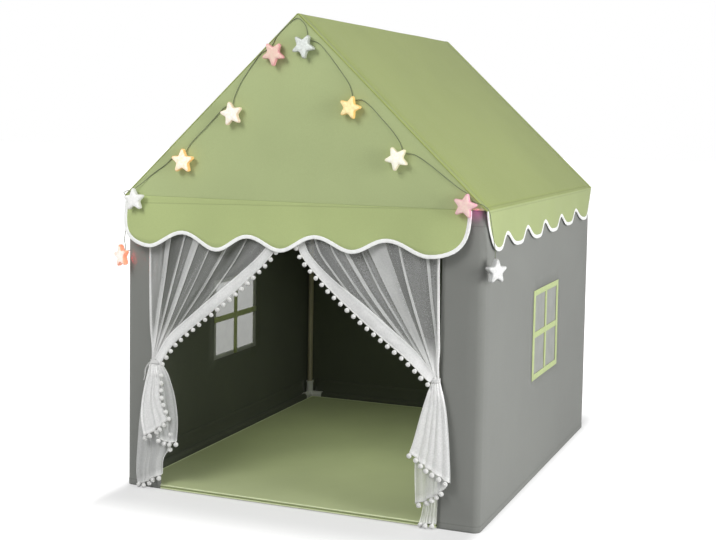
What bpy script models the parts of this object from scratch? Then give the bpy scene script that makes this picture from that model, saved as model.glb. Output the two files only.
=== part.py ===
"""Children's play tent shaped like a small house: cloth cover over a frame of poles.

Metres, +Z up. The origin is on the floor in the middle of the tent, and the door faces -Y.
"""
import math

import bpy
import bmesh
from mathutils import Matrix, Vector

# Overall sizes, measured over the cloth
tent_width = 1.07
tent_depth = 1.28
eave_height = 0.848
ridge_height = 1.36

# Cloth and the clearance between pieces that touch
cloth = 0.002
seat_gap = 0.0003
cut_overrun = 0.002

# Poles and the moulded corner pieces that hold them
pole_radius = 0.0095
socket_wall = 0.0032
socket_depth = 0.034
collar_wall = 0.0014
collar_length = 0.006
hub_radius = 0.0165
base_core = 0.018
eave_core = 0.029
ridge_core = 0.019
pole_sides = 12

# Roof cover, which hangs a little outside the walls
roof_looseness = 0.006
valance_drop = {"end": 0.135, "side": 0.119}
scallop_depth = {"end": 0.039, "side": 0.045}
end_drop = {"end": 0.02, "side": 0.006}
end_roundness = {"end": 0.5, "side": 0.9}
front_valance_gap = 0.031
front_lobes = 5
side_lobes = 6
binding_height = 0.011
binding_thickness = 0.0032
valance_flare = {"end": 0.022, "side": 0.012}
lobe_wave = 0.002

# Door in the front wall
front_strip = 0.115
header_height = 0.058

# Windows in the side walls
window_width = 0.312
window_height = 0.272
window_offset = 0.036
window_centre_height = {"left": 0.405, "right": 0.44}
tape_width = 0.024
tape_thickness = 0.0014
muntin_width = 0.018

# Curtains: a fan above the tie and a tail below it, for each side of the door
curtain_seam_drop = 0.016
curtain_meeting = 0.008
curtain_overlap = {"left": 0.029, "right": 0.005}
neck_width = {"left": 0.036, "right": 0.025}
tie_height = {"left": 0.374, "right": 0.398}
edge_sag_across = {"left": 0.084, "right": 0.156}
edge_sag_down = {"left": 0.043, "right": 0.063}
fan_folds = 6
fan_belly = 0.006
top_wave = 0.001
neck_wave = 0.006
tail_folds = 4
tail_wave = 0.010
tail_forward = 0.012
tail_reach_out = {"left": 0.045, "right": 0.038}
tail_reach_in = {"left": 0.093, "right": 0.080}
tie_band = 0.014
tie_thickness = 0.0015
tie_corner = 0.0005
neck_straight = 0.002

# Across the tail from its outer edge, and the hem's height as a share of the tie's height
hem_shares = {
    "left": ((0.0, 0.015), (0.25, 0.03), (0.5, 0.085), (0.6, 0.31), (1.0, 0.375)),
    "right": (
        (0.0, 0.31), (0.2, 0.25), (0.3, 0.04), (0.68, 0.03), (0.76, 0.14), (0.84, 0.16),
        (0.92, 0.48), (1.0, 0.52),
    ),
}

# Padded floor mat
mat_thickness = 0.015
mat_clearance = 0.002
mat_crown = 0.003
mat_tongue = 0.005
mat_edge_radius = 0.004

# String of star lights
star_tip_radius = 0.035
star_valley_radius = 0.0175
star_tip_round = 0.0045
star_half_depth = 0.010
star_edge_half_depth = 0.006
star_face_share = 0.72
star_back_share = 0.92
wire_radius = 0.001
wire_points = 84

# Battery box of the lights, against the outside of the left wall
box_depth = 0.018
box_width = 0.036
box_height = 0.068
box_bottom = 0.575
box_forward = -0.45
box_wall = 0.002
lid_height = 0.054
lid_thickness = 0.0016
lid_cover = 0.001
lid_lip = 0.0022
thumb_ridge = 0.0008
switch_length = 0.005
switch_width = 0.003
switch_travel = 0.003
switch_proud = 0.0012
switch_recess = 0.003
sleeve_radius = 0.003
sleeve_length = 0.006

# Values that follow from the sizes above
half_width = tent_width / 2
half_depth = tent_depth / 2
roof_half = half_width + roof_looseness
roof_front = half_depth + roof_looseness
roof_slope = (ridge_height - eave_height) / roof_half
pitch = math.atan(roof_slope)
socket_radius = pole_radius + seat_gap + socket_wall
axis_inset = cloth + seat_gap + hub_radius
post_x = half_width - axis_inset
post_y = half_depth - axis_inset
base_z = hub_radius
roof_axis_drop = axis_inset / math.cos(pitch)
ridge_z = ridge_height - roof_axis_drop
eave_z = ridge_z - post_x * roof_slope
roof_underside_drop = cloth / math.cos(pitch)
wall_top = (
    ridge_height - half_width * roof_slope
    - roof_underside_drop - seat_gap / math.cos(pitch)
)
side_sign = {"left": -1, "right": 1}
door_half = half_width - front_strip
door_top = eave_height - header_height
curtain_top = eave_height - curtain_seam_drop


def make_material(name, colour, roughness):
    """A plain Principled surface in the colour of the piece."""
    surface = bpy.data.materials.new(name)
    surface.use_nodes = True
    shader = surface.node_tree.nodes["Principled BSDF"]
    shader.inputs["Base Color"].default_value = (*colour, 1.0)
    shader.inputs["Roughness"].default_value = roughness
    shader.inputs["Metallic"].default_value = 0.0
    surface.diffuse_color = (*colour, 1.0)
    return surface


def mesh_from(bm, name):
    """Turn a bmesh into a mesh whose faces all point out."""
    bmesh.ops.remove_doubles(bm, verts=bm.verts, dist=seat_gap / 100)
    bmesh.ops.recalc_face_normals(bm, faces=bm.faces)
    mesh = bpy.data.meshes.new(name)
    bm.to_mesh(mesh)
    bm.free()
    return mesh


def add_piece(name, mesh, surface, parent=None, smooth=False):
    """Put one named piece into the scene; its mesh is in tent coordinates."""
    piece = bpy.data.objects.new(name, mesh)
    bpy.context.scene.collection.objects.link(piece)
    mesh.materials.clear()
    mesh.materials.append(surface)
    if smooth:
        mesh.shade_smooth()
        mesh.set_sharp_from_angle(angle=math.radians(35))
    if parent is not None:
        mesh.transform(Matrix.Translation(-parent.location))
        piece.parent = parent
    return piece


def pivot(name, place):
    """An empty on the axis of a moving piece."""
    empty = bpy.data.objects.new(name, None)
    empty.location = place
    bpy.context.scene.collection.objects.link(empty)
    return empty


def box_mesh(low, high, name="box"):
    """A box between two corners."""
    bm = bmesh.new()
    middle = (Vector(low) + Vector(high)) / 2
    extent = Vector(high) - Vector(low)
    frame = Matrix.Translation(middle) @ Matrix.Diagonal((*extent, 1.0))
    bmesh.ops.create_cube(bm, size=1.0, matrix=frame)
    return mesh_from(bm, name)


def turned_mesh(start, run, profile, name="turned"):
    """A solid turned about an axis; the profile lists distances along it with radii."""
    turn = run.to_track_quat("Z", "Y")
    bm = bmesh.new()
    rings = []
    for along, radius in profile:
        ring = []
        for k in range(pole_sides):
            angle = 2 * math.pi * (k + 0.5) / pole_sides
            spoke = turn @ Vector((math.cos(angle), math.sin(angle), 0.0))
            ring.append(bm.verts.new(start + run * along + spoke * radius))
        rings.append(ring)
    for near, far in zip(rings, rings[1:]):
        for k in range(pole_sides):
            m = (k + 1) % pole_sides
            bm.faces.new((near[k], near[m], far[m], far[k]))
    bm.faces.new(rings[0])
    bm.faces.new(reversed(rings[-1]))
    return mesh_from(bm, name)


def bar_mesh(start, end, radius, name="bar"):
    """A round bar between two points."""
    run = end - start
    return turned_mesh(start, run.normalized(), ((0.0, radius), (run.length, radius)), name)


def ball_mesh(centre, radius, name="ball"):
    """A faceted ball."""
    bm = bmesh.new()
    bmesh.ops.create_uvsphere(
        bm, u_segments=pole_sides, v_segments=pole_sides // 2, radius=radius,
        matrix=Matrix.Translation(centre),
    )
    return mesh_from(bm, name)


def prism_mesh(outline, low, high, place, name="prism"):
    """A flat outline given depth from low to high; place(a, b, depth) gives each corner."""
    bm = bmesh.new()
    near = [bm.verts.new(place(a, b, low)) for a, b in outline]
    far = [bm.verts.new(place(a, b, high)) for a, b in outline]
    bm.faces.new(near)
    bm.faces.new(reversed(far))
    count = len(outline)
    for k in range(count):
        after = (k + 1) % count
        bm.faces.new((near[k], far[k], far[after], near[after]))
    return mesh_from(bm, name)


def across_x(a, b, depth):
    """Outline in Y and Z, depth along X."""
    return (depth, a, b)


def across_y(a, b, depth):
    """Outline in X and Z, depth along Y."""
    return (a, depth, b)


def across_z(a, b, depth):
    """Outline in X and Y, depth along Z."""
    return (a, b, depth)


def combine(base, joined=(), cut=()):
    """Join solids to a base solid, then cut others out of it, as one mesh."""
    helpers = []
    body = bpy.data.objects.new("body", base)
    bpy.context.scene.collection.objects.link(body)
    for operation, meshes in (("UNION", joined), ("DIFFERENCE", cut)):
        for mesh in meshes:
            tool = bpy.data.objects.new("tool", mesh)
            bpy.context.scene.collection.objects.link(tool)
            helpers.append(tool)
            step = body.modifiers.new(operation, "BOOLEAN")
            step.operation = operation
            step.solver = "EXACT"
            step.object = tool
    bpy.context.view_layer.update()
    evaluated = body.evaluated_get(bpy.context.evaluated_depsgraph_get())
    result = bpy.data.meshes.new_from_object(evaluated)
    for helper in helpers + [body]:
        bpy.data.objects.remove(helper, do_unlink=True)
    return result


def sheet_mesh(columns, rows, centre_point, half_thickness, normal, name="sheet"):
    """A closed solid around a curved sheet; points and thickness follow column and row."""
    bm = bmesh.new()
    sides = []
    for sign in (1, -1):
        grid = []
        for i in range(columns + 1):
            line = []
            for j in range(rows + 1):
                place = centre_point(i, j) + normal * (sign * half_thickness(i, j))
                line.append(bm.verts.new(place))
            grid.append(line)
        sides.append(grid)
    front, back = sides
    for grid in sides:
        for i in range(columns):
            for j in range(rows):
                bm.faces.new((grid[i][j], grid[i + 1][j], grid[i + 1][j + 1], grid[i][j + 1]))
    rim = [(i, 0) for i in range(columns)] + [(columns, j) for j in range(rows)]
    rim += [(i, rows) for i in range(columns, 0, -1)] + [(0, j) for j in range(rows, 0, -1)]
    for k, (i, j) in enumerate(rim):
        m, n = rim[(k + 1) % len(rim)]
        bm.faces.new((front[i][j], back[i][j], back[m][n], front[m][n]))
    return mesh_from(bm, name)


def start_scene():
    """Empty the scene."""
    for item in list(bpy.data.objects):
        bpy.data.objects.remove(item, do_unlink=True)


# Frame

corner_signs = {
    "front_left": (-1, -1),
    "front_right": (1, -1),
    "back_left": (-1, 1),
    "back_right": (1, 1),
}


def frame_hubs():
    """Where the poles meet, and how far each hub is solid before its sockets begin."""
    hubs = {}
    for corner, (sx, sy) in corner_signs.items():
        hubs["base_connector_" + corner] = (Vector((sx * post_x, sy * post_y, base_z)), base_core)
        hubs["eave_connector_" + corner] = (Vector((sx * post_x, sy * post_y, eave_z)), eave_core)
    for end, sy in (("front", -1), ("back", 1)):
        hubs["ridge_connector_" + end] = (Vector((0.0, sy * post_y, ridge_z)), ridge_core)
    return hubs


def frame_poles():
    """Each pole's name and the two hubs it runs between."""
    poles = {}
    for corner in corner_signs:
        end = corner.split("_")[0]
        poles["post_" + corner] = ("base_connector_" + corner, "eave_connector_" + corner)
        poles["rafter_" + corner] = ("eave_connector_" + corner, "ridge_connector_" + end)
    for level in ("base", "eave"):
        hub = level + "_connector_"
        for side in ("left", "right"):
            poles[level + "_rail_" + side] = (hub + "front_" + side, hub + "back_" + side)
        poles[level + "_rail_back"] = (hub + "back_left", hub + "back_right")
    poles["eave_rail_front"] = ("eave_connector_front_left", "eave_connector_front_right")
    poles["ridge_pole"] = ("ridge_connector_front", "ridge_connector_back")
    return poles


def build_frame(wood, plastic):
    """Poles with their ends seated in ball-shaped corner pieces."""
    hubs = frame_hubs()
    sockets = {name: [] for name in hubs}
    for name, (first, second) in frame_poles().items():
        start, start_core = hubs[first]
        end, end_core = hubs[second]
        run = (end - start).normalized()
        low = start + run * (start_core + seat_gap)
        high = end - run * (end_core + seat_gap)
        add_piece(name, bar_mesh(low, high, pole_radius, name), wood, smooth=True)
        sockets[first].append((run, 1))
        sockets[second].append((run, -1))
    for name, (centre, core) in hubs.items():
        joined = []
        cut = []
        for run, sign in sockets[name]:
            mouth = core + socket_depth
            collar = mouth - collar_length
            wide = socket_radius + collar_wall
            joined.append(turned_mesh(centre, run, (
                (0.0, socket_radius), (sign * collar, socket_radius),
                (sign * collar, wide), (sign * mouth, wide),
            )))
            bore = pole_radius + seat_gap
            past = mouth + cut_overrun
            cut.append(turned_mesh(centre, run, ((sign * core, bore), (sign * past, bore))))
        if name.startswith("base"):
            foot = Vector((centre.x, centre.y, 0.0))
            joined.append(bar_mesh(foot, centre, socket_radius))
        hub = combine(ball_mesh(centre, hub_radius), joined, cut)
        add_piece(name, hub, plastic, smooth=True)


# Walls and windows


def plate_with_hole(outer, inner, low, high, name):
    """An upright side panel with a rectangular hole; corners are (y, z) pairs."""
    def corners(box):
        (y0, z0), (y1, z1) = box
        return ((y0, z0), (y1, z0), (y1, z1), (y0, z1))

    bm = bmesh.new()
    rings = {}
    for label, box in (("outer", outer), ("inner", inner)):
        for depth in (low, high):
            rings[label, depth] = [bm.verts.new((depth, y, z)) for y, z in corners(box)]
    for k in range(4):
        m = (k + 1) % 4
        for depth in (low, high):
            big, small = rings["outer", depth], rings["inner", depth]
            bm.faces.new((big[k], big[m], small[m], small[k]))
        for label in ("outer", "inner"):
            near, far = rings[label, low], rings[label, high]
            bm.faces.new((near[k], near[m], far[m], far[k]))
    return mesh_from(bm, name)


def rectangle(centre_a, centre_b, half_a, half_b):
    """Two opposite corners of a rectangle."""
    return ((centre_a - half_a, centre_b - half_b), (centre_a + half_a, centre_b + half_b))


def build_side(side, wall_cloth, window_cloth):
    """One side wall and the window sewn into it."""
    sign = side_sign[side]
    height = window_centre_height[side]
    tape_half_y = window_width / 2
    tape_half_z = window_height / 2
    hole_half_y = tape_half_y - tape_width / 2
    hole_half_z = tape_half_z - tape_width / 2
    outer = ((-half_depth, 0.0), (half_depth, wall_top))
    hole = rectangle(window_offset, height, hole_half_y, hole_half_z)
    inside = sign * (half_width - cloth)
    outside = sign * half_width
    wall = plate_with_hole(outer, hole, inside, outside, "wall_" + side)
    add_piece("wall_" + side, wall, wall_cloth)

    tape_low = outside + sign * seat_gap
    tape_high = tape_low + sign * tape_thickness
    ring = plate_with_hole(
        rectangle(window_offset, height, tape_half_y, tape_half_z),
        rectangle(window_offset, height, tape_half_y - tape_width, tape_half_z - tape_width),
        tape_low, tape_high, "tape",
    )
    pane_half_y = hole_half_y - seat_gap
    pane_half_z = hole_half_z - seat_gap
    pane = box_mesh(
        (inside, window_offset - pane_half_y, height - pane_half_z),
        (tape_low + sign * tape_thickness / 2, window_offset + pane_half_y, height + pane_half_z),
    )
    bar_low = inside + sign * cloth / 2
    upright = box_mesh(
        (bar_low, window_offset - muntin_width / 2, height - tape_half_z + tape_width / 2),
        (tape_high, window_offset + muntin_width / 2, height + tape_half_z - tape_width / 2),
    )
    level = box_mesh(
        (bar_low, window_offset - tape_half_y + tape_width / 2, height - muntin_width / 2),
        (tape_high, window_offset + tape_half_y - tape_width / 2, height + muntin_width / 2),
    )
    window = combine(ring, (pane, upright, level))
    add_piece("window_" + side, window, window_cloth)


def build_end_walls(wall_cloth):
    """The back wall, and the front wall with its door opening."""
    reach = half_width - cloth - seat_gap
    plain = ((-reach, 0.0), (reach, 0.0), (reach, wall_top), (-reach, wall_top))
    back = prism_mesh(plain, half_depth - cloth, half_depth, across_y)
    add_piece("wall_back", back, wall_cloth)
    with_door = (
        (-reach, 0.0), (-door_half, 0.0), (-door_half, door_top), (door_half, door_top),
        (door_half, 0.0), (reach, 0.0), (reach, wall_top), (-reach, wall_top),
    )
    front = prism_mesh(with_door, -half_depth, cloth - half_depth, across_y)
    add_piece("wall_front", front, wall_cloth)


# Roof cover


def build_roof(roof_cloth):
    """One sheet over the ridge, and a gable at each end under its edges."""
    inner_half = roof_half - cloth / math.sin(pitch)
    inner_ridge = ridge_height - roof_underside_drop
    section = (
        (-roof_half, eave_height), (0.0, ridge_height), (roof_half, eave_height),
        (inner_half, eave_height), (0.0, inner_ridge), (-inner_half, eave_height),
    )
    roof = prism_mesh(section, -roof_front, roof_front, across_y)
    add_piece("roof_panel", roof, roof_cloth)
    gable_half = inner_half - seat_gap / math.sin(pitch)
    gable_top = inner_ridge - seat_gap / math.cos(pitch)
    triangle = ((-gable_half, eave_height), (gable_half, eave_height), (0.0, gable_top))
    for end, sign in (("front", -1), ("back", 1)):
        gable = prism_mesh(triangle, sign * roof_front, sign * (roof_front - cloth), across_y)
        add_piece("gable_" + end, gable, roof_cloth)


def valance_edge(place, lobes, kind):
    """How far the scalloped edge hangs down at a place between 0 and the number of lobes."""
    full = valance_drop[kind]
    from_end = min(place, lobes - place)
    if from_end < 0.5:
        part = max(0.0, 1.0 - (1.0 - 2 * from_end) ** 2)
        return end_drop[kind] + (full - end_drop[kind]) * part ** end_roundness[kind]
    return full - scallop_depth[kind] * (1 + math.cos(2 * math.pi * place)) / 2


def build_valance(name, start, along, outward, length, lobes, kind, roof_cloth):
    """A scalloped strip that hangs from the eave, with a bound lower edge."""
    per_lobe = 6
    columns = lobes * per_lobe
    top = eave_height - seat_gap
    step = seat_gap

    def depth_at(i, j):
        drop = valance_edge(i / per_lobe, lobes, kind)
        seam = max(drop - binding_height, drop / 3)
        return (0.0, seam / 2, seam, seam + step, drop)[j]

    def centre_point(i, j):
        depth = depth_at(i, j)
        part = depth / valance_drop[kind]
        wave = lobe_wave * part * math.cos(2 * math.pi * (i / per_lobe - 0.5))
        out = valance_flare[kind] * part ** 1.2 + wave
        return start + along * (length * i / columns) + outward * out + Vector((0, 0, top - depth))

    def half_thickness(i, j):
        return (cloth if j < 3 else binding_thickness) / 2

    mesh = sheet_mesh(columns, 4, centre_point, half_thickness, outward)
    add_piece(name, mesh, roof_cloth, smooth=True)


def build_valances(roof_cloth):
    """The four valances round the eave."""
    reach = roof_half - cloth / 2 - binding_thickness / 2 - seat_gap
    middle = cloth / 2
    for end, sign, gap in (("front", -1, front_valance_gap), ("back", 1, 0.0)):
        start = Vector((-reach, sign * (roof_front - middle), 0.0))
        build_valance(
            "valance_" + end, start, Vector((1, 0, 0)), Vector((0, sign, 0)),
            2 * reach - gap, front_lobes, "end", roof_cloth,
        )
    for side, sign in side_sign.items():
        start = Vector((sign * (roof_half - middle), -roof_front, 0.0))
        build_valance(
            "valance_" + side, start, Vector((0, 1, 0)), Vector((sign, 0, 0)),
            2 * roof_front, side_lobes, "side", roof_cloth,
        )


# Curtains


def stepped(table, place):
    """Straight lines between the points of a table of shares."""
    for (a, low), (b, high) in zip(table, table[1:]):
        if place <= b:
            return low + (high - low) * (place - a) / (b - a)
    return table[-1][1]


def build_curtain(side, sheer, ribbon):
    """The gathered fan above the tie, the tie's band, and the tail below it."""
    sign = side_sign[side]
    outer = door_half + curtain_overlap[side]
    neck = neck_width[side]
    tie = tie_height[side]
    half_sheet = cloth / 2
    top_stand = seat_gap + half_sheet + top_wave
    neck_half = neck_wave + half_sheet
    neck_stand = seat_gap + tie_thickness + seat_gap + neck_half
    neck_top = tie + tie_band + neck_straight
    front = Vector((0, -1, 0))

    columns = 4 * fan_folds
    rows = 9

    def fan_point(i, j):
        across = i / columns
        along = min(j / (rows - 1), 1.0)
        top_x = outer + (curtain_meeting - outer) * across
        neck_x = outer - neck * across
        sag = across ** 2
        turn_x = (top_x + neck_x) / 2 - edge_sag_across[side] * sag
        turn_z = (curtain_top + neck_top) / 2 - edge_sag_down[side] * sag
        a, b, c = (1 - along) ** 2, 2 * along * (1 - along), along ** 2
        x = a * top_x + b * turn_x + c * neck_x
        z = a * curtain_top + b * turn_z + c * neck_top
        if j == rows:
            z = tie
        wave = top_wave + (neck_wave - top_wave) * min(1.0, 3 * along)
        stand = top_stand + (neck_stand - top_stand) * along + fan_belly * math.sin(math.pi * along)
        stand += wave * math.sin(2 * math.pi * fan_folds * across)
        return Vector((sign * x, -half_depth - stand, z))

    def even(i, j):
        return half_sheet

    fan = sheet_mesh(columns, rows, fan_point, even, front)
    add_piece("curtain_{}_fan".format(side), fan, sheer, smooth=True)

    tail_columns = 6 * tail_folds
    tail_rows = 7
    tail_top = tie - seat_gap

    def tail_point(i, j):
        across = i / tail_columns
        down = j / tail_rows
        neck_x = outer - neck * across
        hem_x = outer + tail_reach_out[side] - (tail_reach_out[side] + tail_reach_in[side]) * across
        hem_z = stepped(hem_shares[side], across) * tie
        spread = down ** 0.8
        wave = neck_wave + (tail_wave - neck_wave) * down
        stand = neck_stand + tail_forward * down ** 0.6
        stand += wave * math.sin(2 * math.pi * tail_folds * across)
        x = neck_x + (hem_x - neck_x) * spread
        return Vector((sign * x, -half_depth - stand, tail_top + (hem_z - tail_top) * down))

    hinge = Vector((sign * (outer - neck / 2), -half_depth - neck_stand - neck_half, tie))
    tail = sheet_mesh(tail_columns, tail_rows, tail_point, even, front)
    add_piece(
        "curtain_{}_tail".format(side), tail, sheer,
        parent=pivot("{}_tail_axis".format(side), hinge), smooth=True,
    )

    neck_x = sign * (outer - neck / 2)
    band = ring_solid(neck_x, -half_depth - neck_stand, neck / 2, neck_half, tie)
    add_piece("tie_" + side, band, ribbon, smooth=True)


def rounded_rectangle(half_a, half_b, corner):
    """The corners of a rectangle, each turned through three points."""
    points = []
    for quarter in range(4):
        sign_a = 1 if quarter in (0, 3) else -1
        sign_b = 1 if quarter in (0, 1) else -1
        for part in range(3):
            angle = math.pi / 2 * (quarter + part / 2)
            points.append((
                sign_a * (half_a - corner) + corner * math.cos(angle),
                sign_b * (half_b - corner) + corner * math.sin(angle),
            ))
    return points


def ring_solid(x, y, half_x, half_y, low):
    """A flat ribbon round the curtain's neck, just above the tail."""
    bm = bmesh.new()
    loops = []
    for spare in (seat_gap, seat_gap + tie_thickness):
        outline = rounded_rectangle(half_x + spare, half_y + spare, tie_corner + spare)
        for z in (low + seat_gap, low + tie_band):
            loops.append([bm.verts.new((x + a, y + b, z)) for a, b in outline])
    count = len(loops[0])
    inner_low, inner_high, outer_low, outer_high = loops
    for first, second in (
        (inner_low, inner_high), (inner_high, outer_high),
        (outer_high, outer_low), (outer_low, inner_low),
    ):
        for k in range(count):
            m = (k + 1) % count
            bm.faces.new((first[k], first[m], second[m], second[k]))
    return mesh_from(bm, "band")


# Mat


def build_mat(padding):
    """A padded mat that fills the floor, with its front edge in the door opening."""
    reach_x = post_x - hub_radius - mat_clearance
    back = post_y - hub_radius - mat_clearance
    front = half_depth - cloth - seat_gap
    tongue_half = door_half - mat_clearance
    lip = half_depth + mat_tongue
    outline = (
        (-reach_x, back), (-reach_x, -front), (-tongue_half, -front), (-tongue_half, -lip),
        (tongue_half, -lip), (tongue_half, -front), (reach_x, -front), (reach_x, back),
    )
    mesh = prism_mesh(outline, 0.0, mat_thickness - mat_crown, across_z)
    bm = bmesh.new()
    bm.from_mesh(mesh)
    top = max(bm.faces, key=lambda face: face.calc_center_median().z)
    bmesh.ops.inset_region(bm, faces=[top], thickness=mat_edge_radius, depth=mat_crown)
    add_piece(
        "floor_mat", mesh_from(bm, "floor_mat"), padding,
        parent=pivot("mat_lift_axis", Vector((0, 0, 0))),
    )


# Star lights

# Place of each star's middle, its turn about its own face and its turn about the upright
front_face = -half_depth - roof_looseness
star_stand = 0.0128
star_places = (
    ("star_1", (-0.5435, -half_depth - 0.017, 0.672), 10, -50),
    ("star_2", (-0.498, front_face - 0.0178, 0.836), 5, 0),
    ("star_3", (-0.343, front_face - star_stand, 0.950), 0, 0),
    ("star_4", (-0.191, front_face - star_stand, 1.084), 12, 0),
    ("star_5", (-0.065, front_face - star_stand, 1.248), 36, 0),
    ("star_6", (0.023, front_face - star_stand, 1.268), -30, 0),
    ("star_7", (0.161, front_face - star_stand, 1.106), -16, 0),
    ("star_8", (0.295, front_face - star_stand, 0.975), 27, 0),
    ("star_9", (0.485, front_face - 0.0158, 0.859), -12, 0),
    ("star_10", (0.564, -half_depth + 0.003, 0.6925), 0, 30),
)


def star_outline():
    """Five rounded tips with a valley between each two."""
    points = []
    for k in range(5):
        tip = math.pi / 2 + 2 * math.pi * k / 5
        centre = star_tip_radius - star_tip_round
        for turn in (-60, 0, 60):
            angle = tip + math.radians(turn)
            points.append((
                centre * math.cos(tip) + star_tip_round * math.cos(angle),
                centre * math.sin(tip) + star_tip_round * math.sin(angle),
            ))
        valley = tip + math.pi / 5
        points.append((star_valley_radius * math.cos(valley), star_valley_radius * math.sin(valley)))
    return points


def star_mesh(name):
    """A puffed star lamp that faces -Y, about its own middle."""
    outline = star_outline()
    count = len(outline)
    bm = bmesh.new()
    rings = []
    for share, depth in (
        (star_face_share, -star_half_depth), (1.0, -star_edge_half_depth),
        (1.0, star_edge_half_depth), (star_back_share, star_half_depth),
    ):
        rings.append([bm.verts.new((x * share, depth, z * share)) for x, z in outline])
    for first, second in zip(rings, rings[1:]):
        for k in range(count):
            m = (k + 1) % count
            bm.faces.new((first[k], first[m], second[m], second[k]))
    bm.faces.new(rings[0])
    bm.faces.new(reversed(rings[-1]))
    return mesh_from(bm, name)


def build_stars(lamp):
    """Ten star lamps along the wire."""
    for name, middle, tilt, turn in star_places:
        mesh = star_mesh(name)
        upright = Matrix.Rotation(math.radians(turn), 4, "Z")
        roll = Matrix.Rotation(math.radians(-tilt), 4, "Y")
        mesh.transform(Matrix.Translation(middle) @ upright @ roll)
        add_piece(name, mesh, lamp)


# The wire's route, from the battery box round the left corner, up and down the front rakes
wire_route = (
    (-0.5443, -0.4500, 0.6505), (-0.5443, -0.4500, 0.6580), (-0.5450, -0.4520, 0.6690),
    (-0.5465, -0.4600, 0.6790), (-0.5490, -0.4760, 0.6840), (-0.5530, -0.5050, 0.6850),
    (-0.5570, -0.5400, 0.6830), (-0.5600, -0.5750, 0.6810), (-0.5610, -0.6000, 0.6800),
    (-0.5595, -0.6140, 0.6800), (-0.5560, -0.6240, 0.6800), (-0.5499, -0.6317, 0.6810),
    (-0.5420, -0.6411, 0.6845), (-0.5370, -0.6470, 0.6905), (-0.5370, -0.6470, 0.6985),
    (-0.5420, -0.6411, 0.7060), (-0.5499, -0.6317, 0.7100), (-0.5560, -0.6230, 0.7160),
    (-0.5580, -0.6160, 0.7300), (-0.5570, -0.6130, 0.7500), (-0.5540, -0.6150, 0.7800),
    (-0.5500, -0.6200, 0.8100), (-0.5470, -0.6280, 0.8350), (-0.5455, -0.6380, 0.8480),
    (-0.5425, -0.6480, 0.8540), (-0.5350, -0.6500, 0.8575), (-0.5240, -0.6515, 0.8605),
    (-0.5071, -0.6525, 0.8542), (-0.5005, -0.6525, 0.8685), (-0.4830, -0.6505, 0.8810),
    (-0.4590, -0.6480, 0.9010), (-0.4370, -0.6475, 0.9170), (-0.4050, -0.6475, 0.9380),
    (-0.3790, -0.6475, 0.9600), (-0.3437, -0.6475, 0.9730), (-0.3260, -0.6475, 0.9980),
    (-0.3000, -0.6475, 1.0240), (-0.2770, -0.6475, 1.0450), (-0.2520, -0.6475, 1.0700),
    (-0.2330, -0.6475, 1.0890), (-0.2170, -0.6475, 1.1030), (-0.1967, -0.6475, 1.1053),
    (-0.1870, -0.6475, 1.1340), (-0.1700, -0.6475, 1.1680), (-0.1510, -0.6475, 1.1960),
    (-0.1300, -0.6475, 1.2240), (-0.1080, -0.6475, 1.2500), (-0.0785, -0.6475, 1.2666),
    (-0.0620, -0.6475, 1.2950), (-0.0400, -0.6475, 1.3170), (-0.0160, -0.6475, 1.3370),
    (0.0000, -0.6475, 1.3430), (0.0140, -0.6475, 1.3350), (0.0265, -0.6475, 1.3180),
    (0.0344, -0.6475, 1.2873), (0.0620, -0.6475, 1.2770), (0.0890, -0.6475, 1.2500),
    (0.1080, -0.6475, 1.2270), (0.1270, -0.6475, 1.2030), (0.1540, -0.6475, 1.1660),
    (0.1674, -0.6475, 1.1274), (0.1900, -0.6475, 1.1270), (0.2160, -0.6475, 1.1090),
    (0.2430, -0.6475, 1.0820), (0.2770, -0.6475, 1.0470), (0.3000, -0.6475, 1.0150),
    (0.3110, -0.6475, 0.9906), (0.3410, -0.6475, 0.9860), (0.3770, -0.6475, 0.9650),
    (0.4040, -0.6475, 0.9460), (0.4340, -0.6476, 0.9240), (0.4640, -0.6490, 0.9030),
    (0.4900, -0.6505, 0.8880), (0.5011, -0.6508, 0.8714), (0.5250, -0.6505, 0.8640),
    (0.5380, -0.6500, 0.8560), (0.5445, -0.6480, 0.8490), (0.5475, -0.6450, 0.8380),
    (0.5505, -0.6420, 0.8150), (0.5540, -0.6400, 0.7900), (0.5575, -0.6360, 0.7650),
    (0.5583, -0.6285, 0.7450), (0.5580, -0.6264, 0.7300), (0.5580, -0.6264, 0.7150),
)


def smooth_route(points, count):
    """Points at even steps along a smooth curve through the route."""
    knots = [Vector(p) for p in points]
    knots = [2 * knots[0] - knots[1]] + knots + [2 * knots[-1] - knots[-2]]
    fine = []
    parts = 8
    for a, b, c, d in zip(knots, knots[1:], knots[2:], knots[3:]):
        for k in range(parts):
            t = k / parts
            fine.append(
                (2 * b + (c - a) * t + (2 * a - 5 * b + 4 * c - d) * t ** 2
                 + (3 * b - a - 3 * c + d) * t ** 3) / 2
            )
    fine.append(knots[-2])
    travelled = [0.0]
    for first, second in zip(fine, fine[1:]):
        travelled.append(travelled[-1] + (second - first).length)
    even = []
    place = 0
    for k in range(count):
        target = travelled[-1] * k / (count - 1)
        while place < len(fine) - 2 and travelled[place + 1] < target:
            place += 1
        span = travelled[place + 1] - travelled[place]
        part = (target - travelled[place]) / span
        even.append(fine[place].lerp(fine[place + 1], part))
    return even, travelled[-1]


def build_wire(sleeve):
    """One unbroken wire that carries the stars."""
    points, length = smooth_route(wire_route, wire_points)
    curve = bpy.data.curves.new("light_wire", "CURVE")
    curve.dimensions = "3D"
    curve.bevel_depth = wire_radius
    curve.bevel_resolution = 2
    curve.use_fill_caps = True
    spline = curve.splines.new("POLY")
    spline.points.add(len(points) - 1)
    for target, place in zip(spline.points, points):
        target.co = (*place, 1.0)
    curve.materials.append(sleeve)
    wire = bpy.data.objects.new("light_wire", curve)
    bpy.context.scene.collection.objects.link(wire)
    print("light wire length {:.3f} m".format(length))


# Battery box


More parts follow.
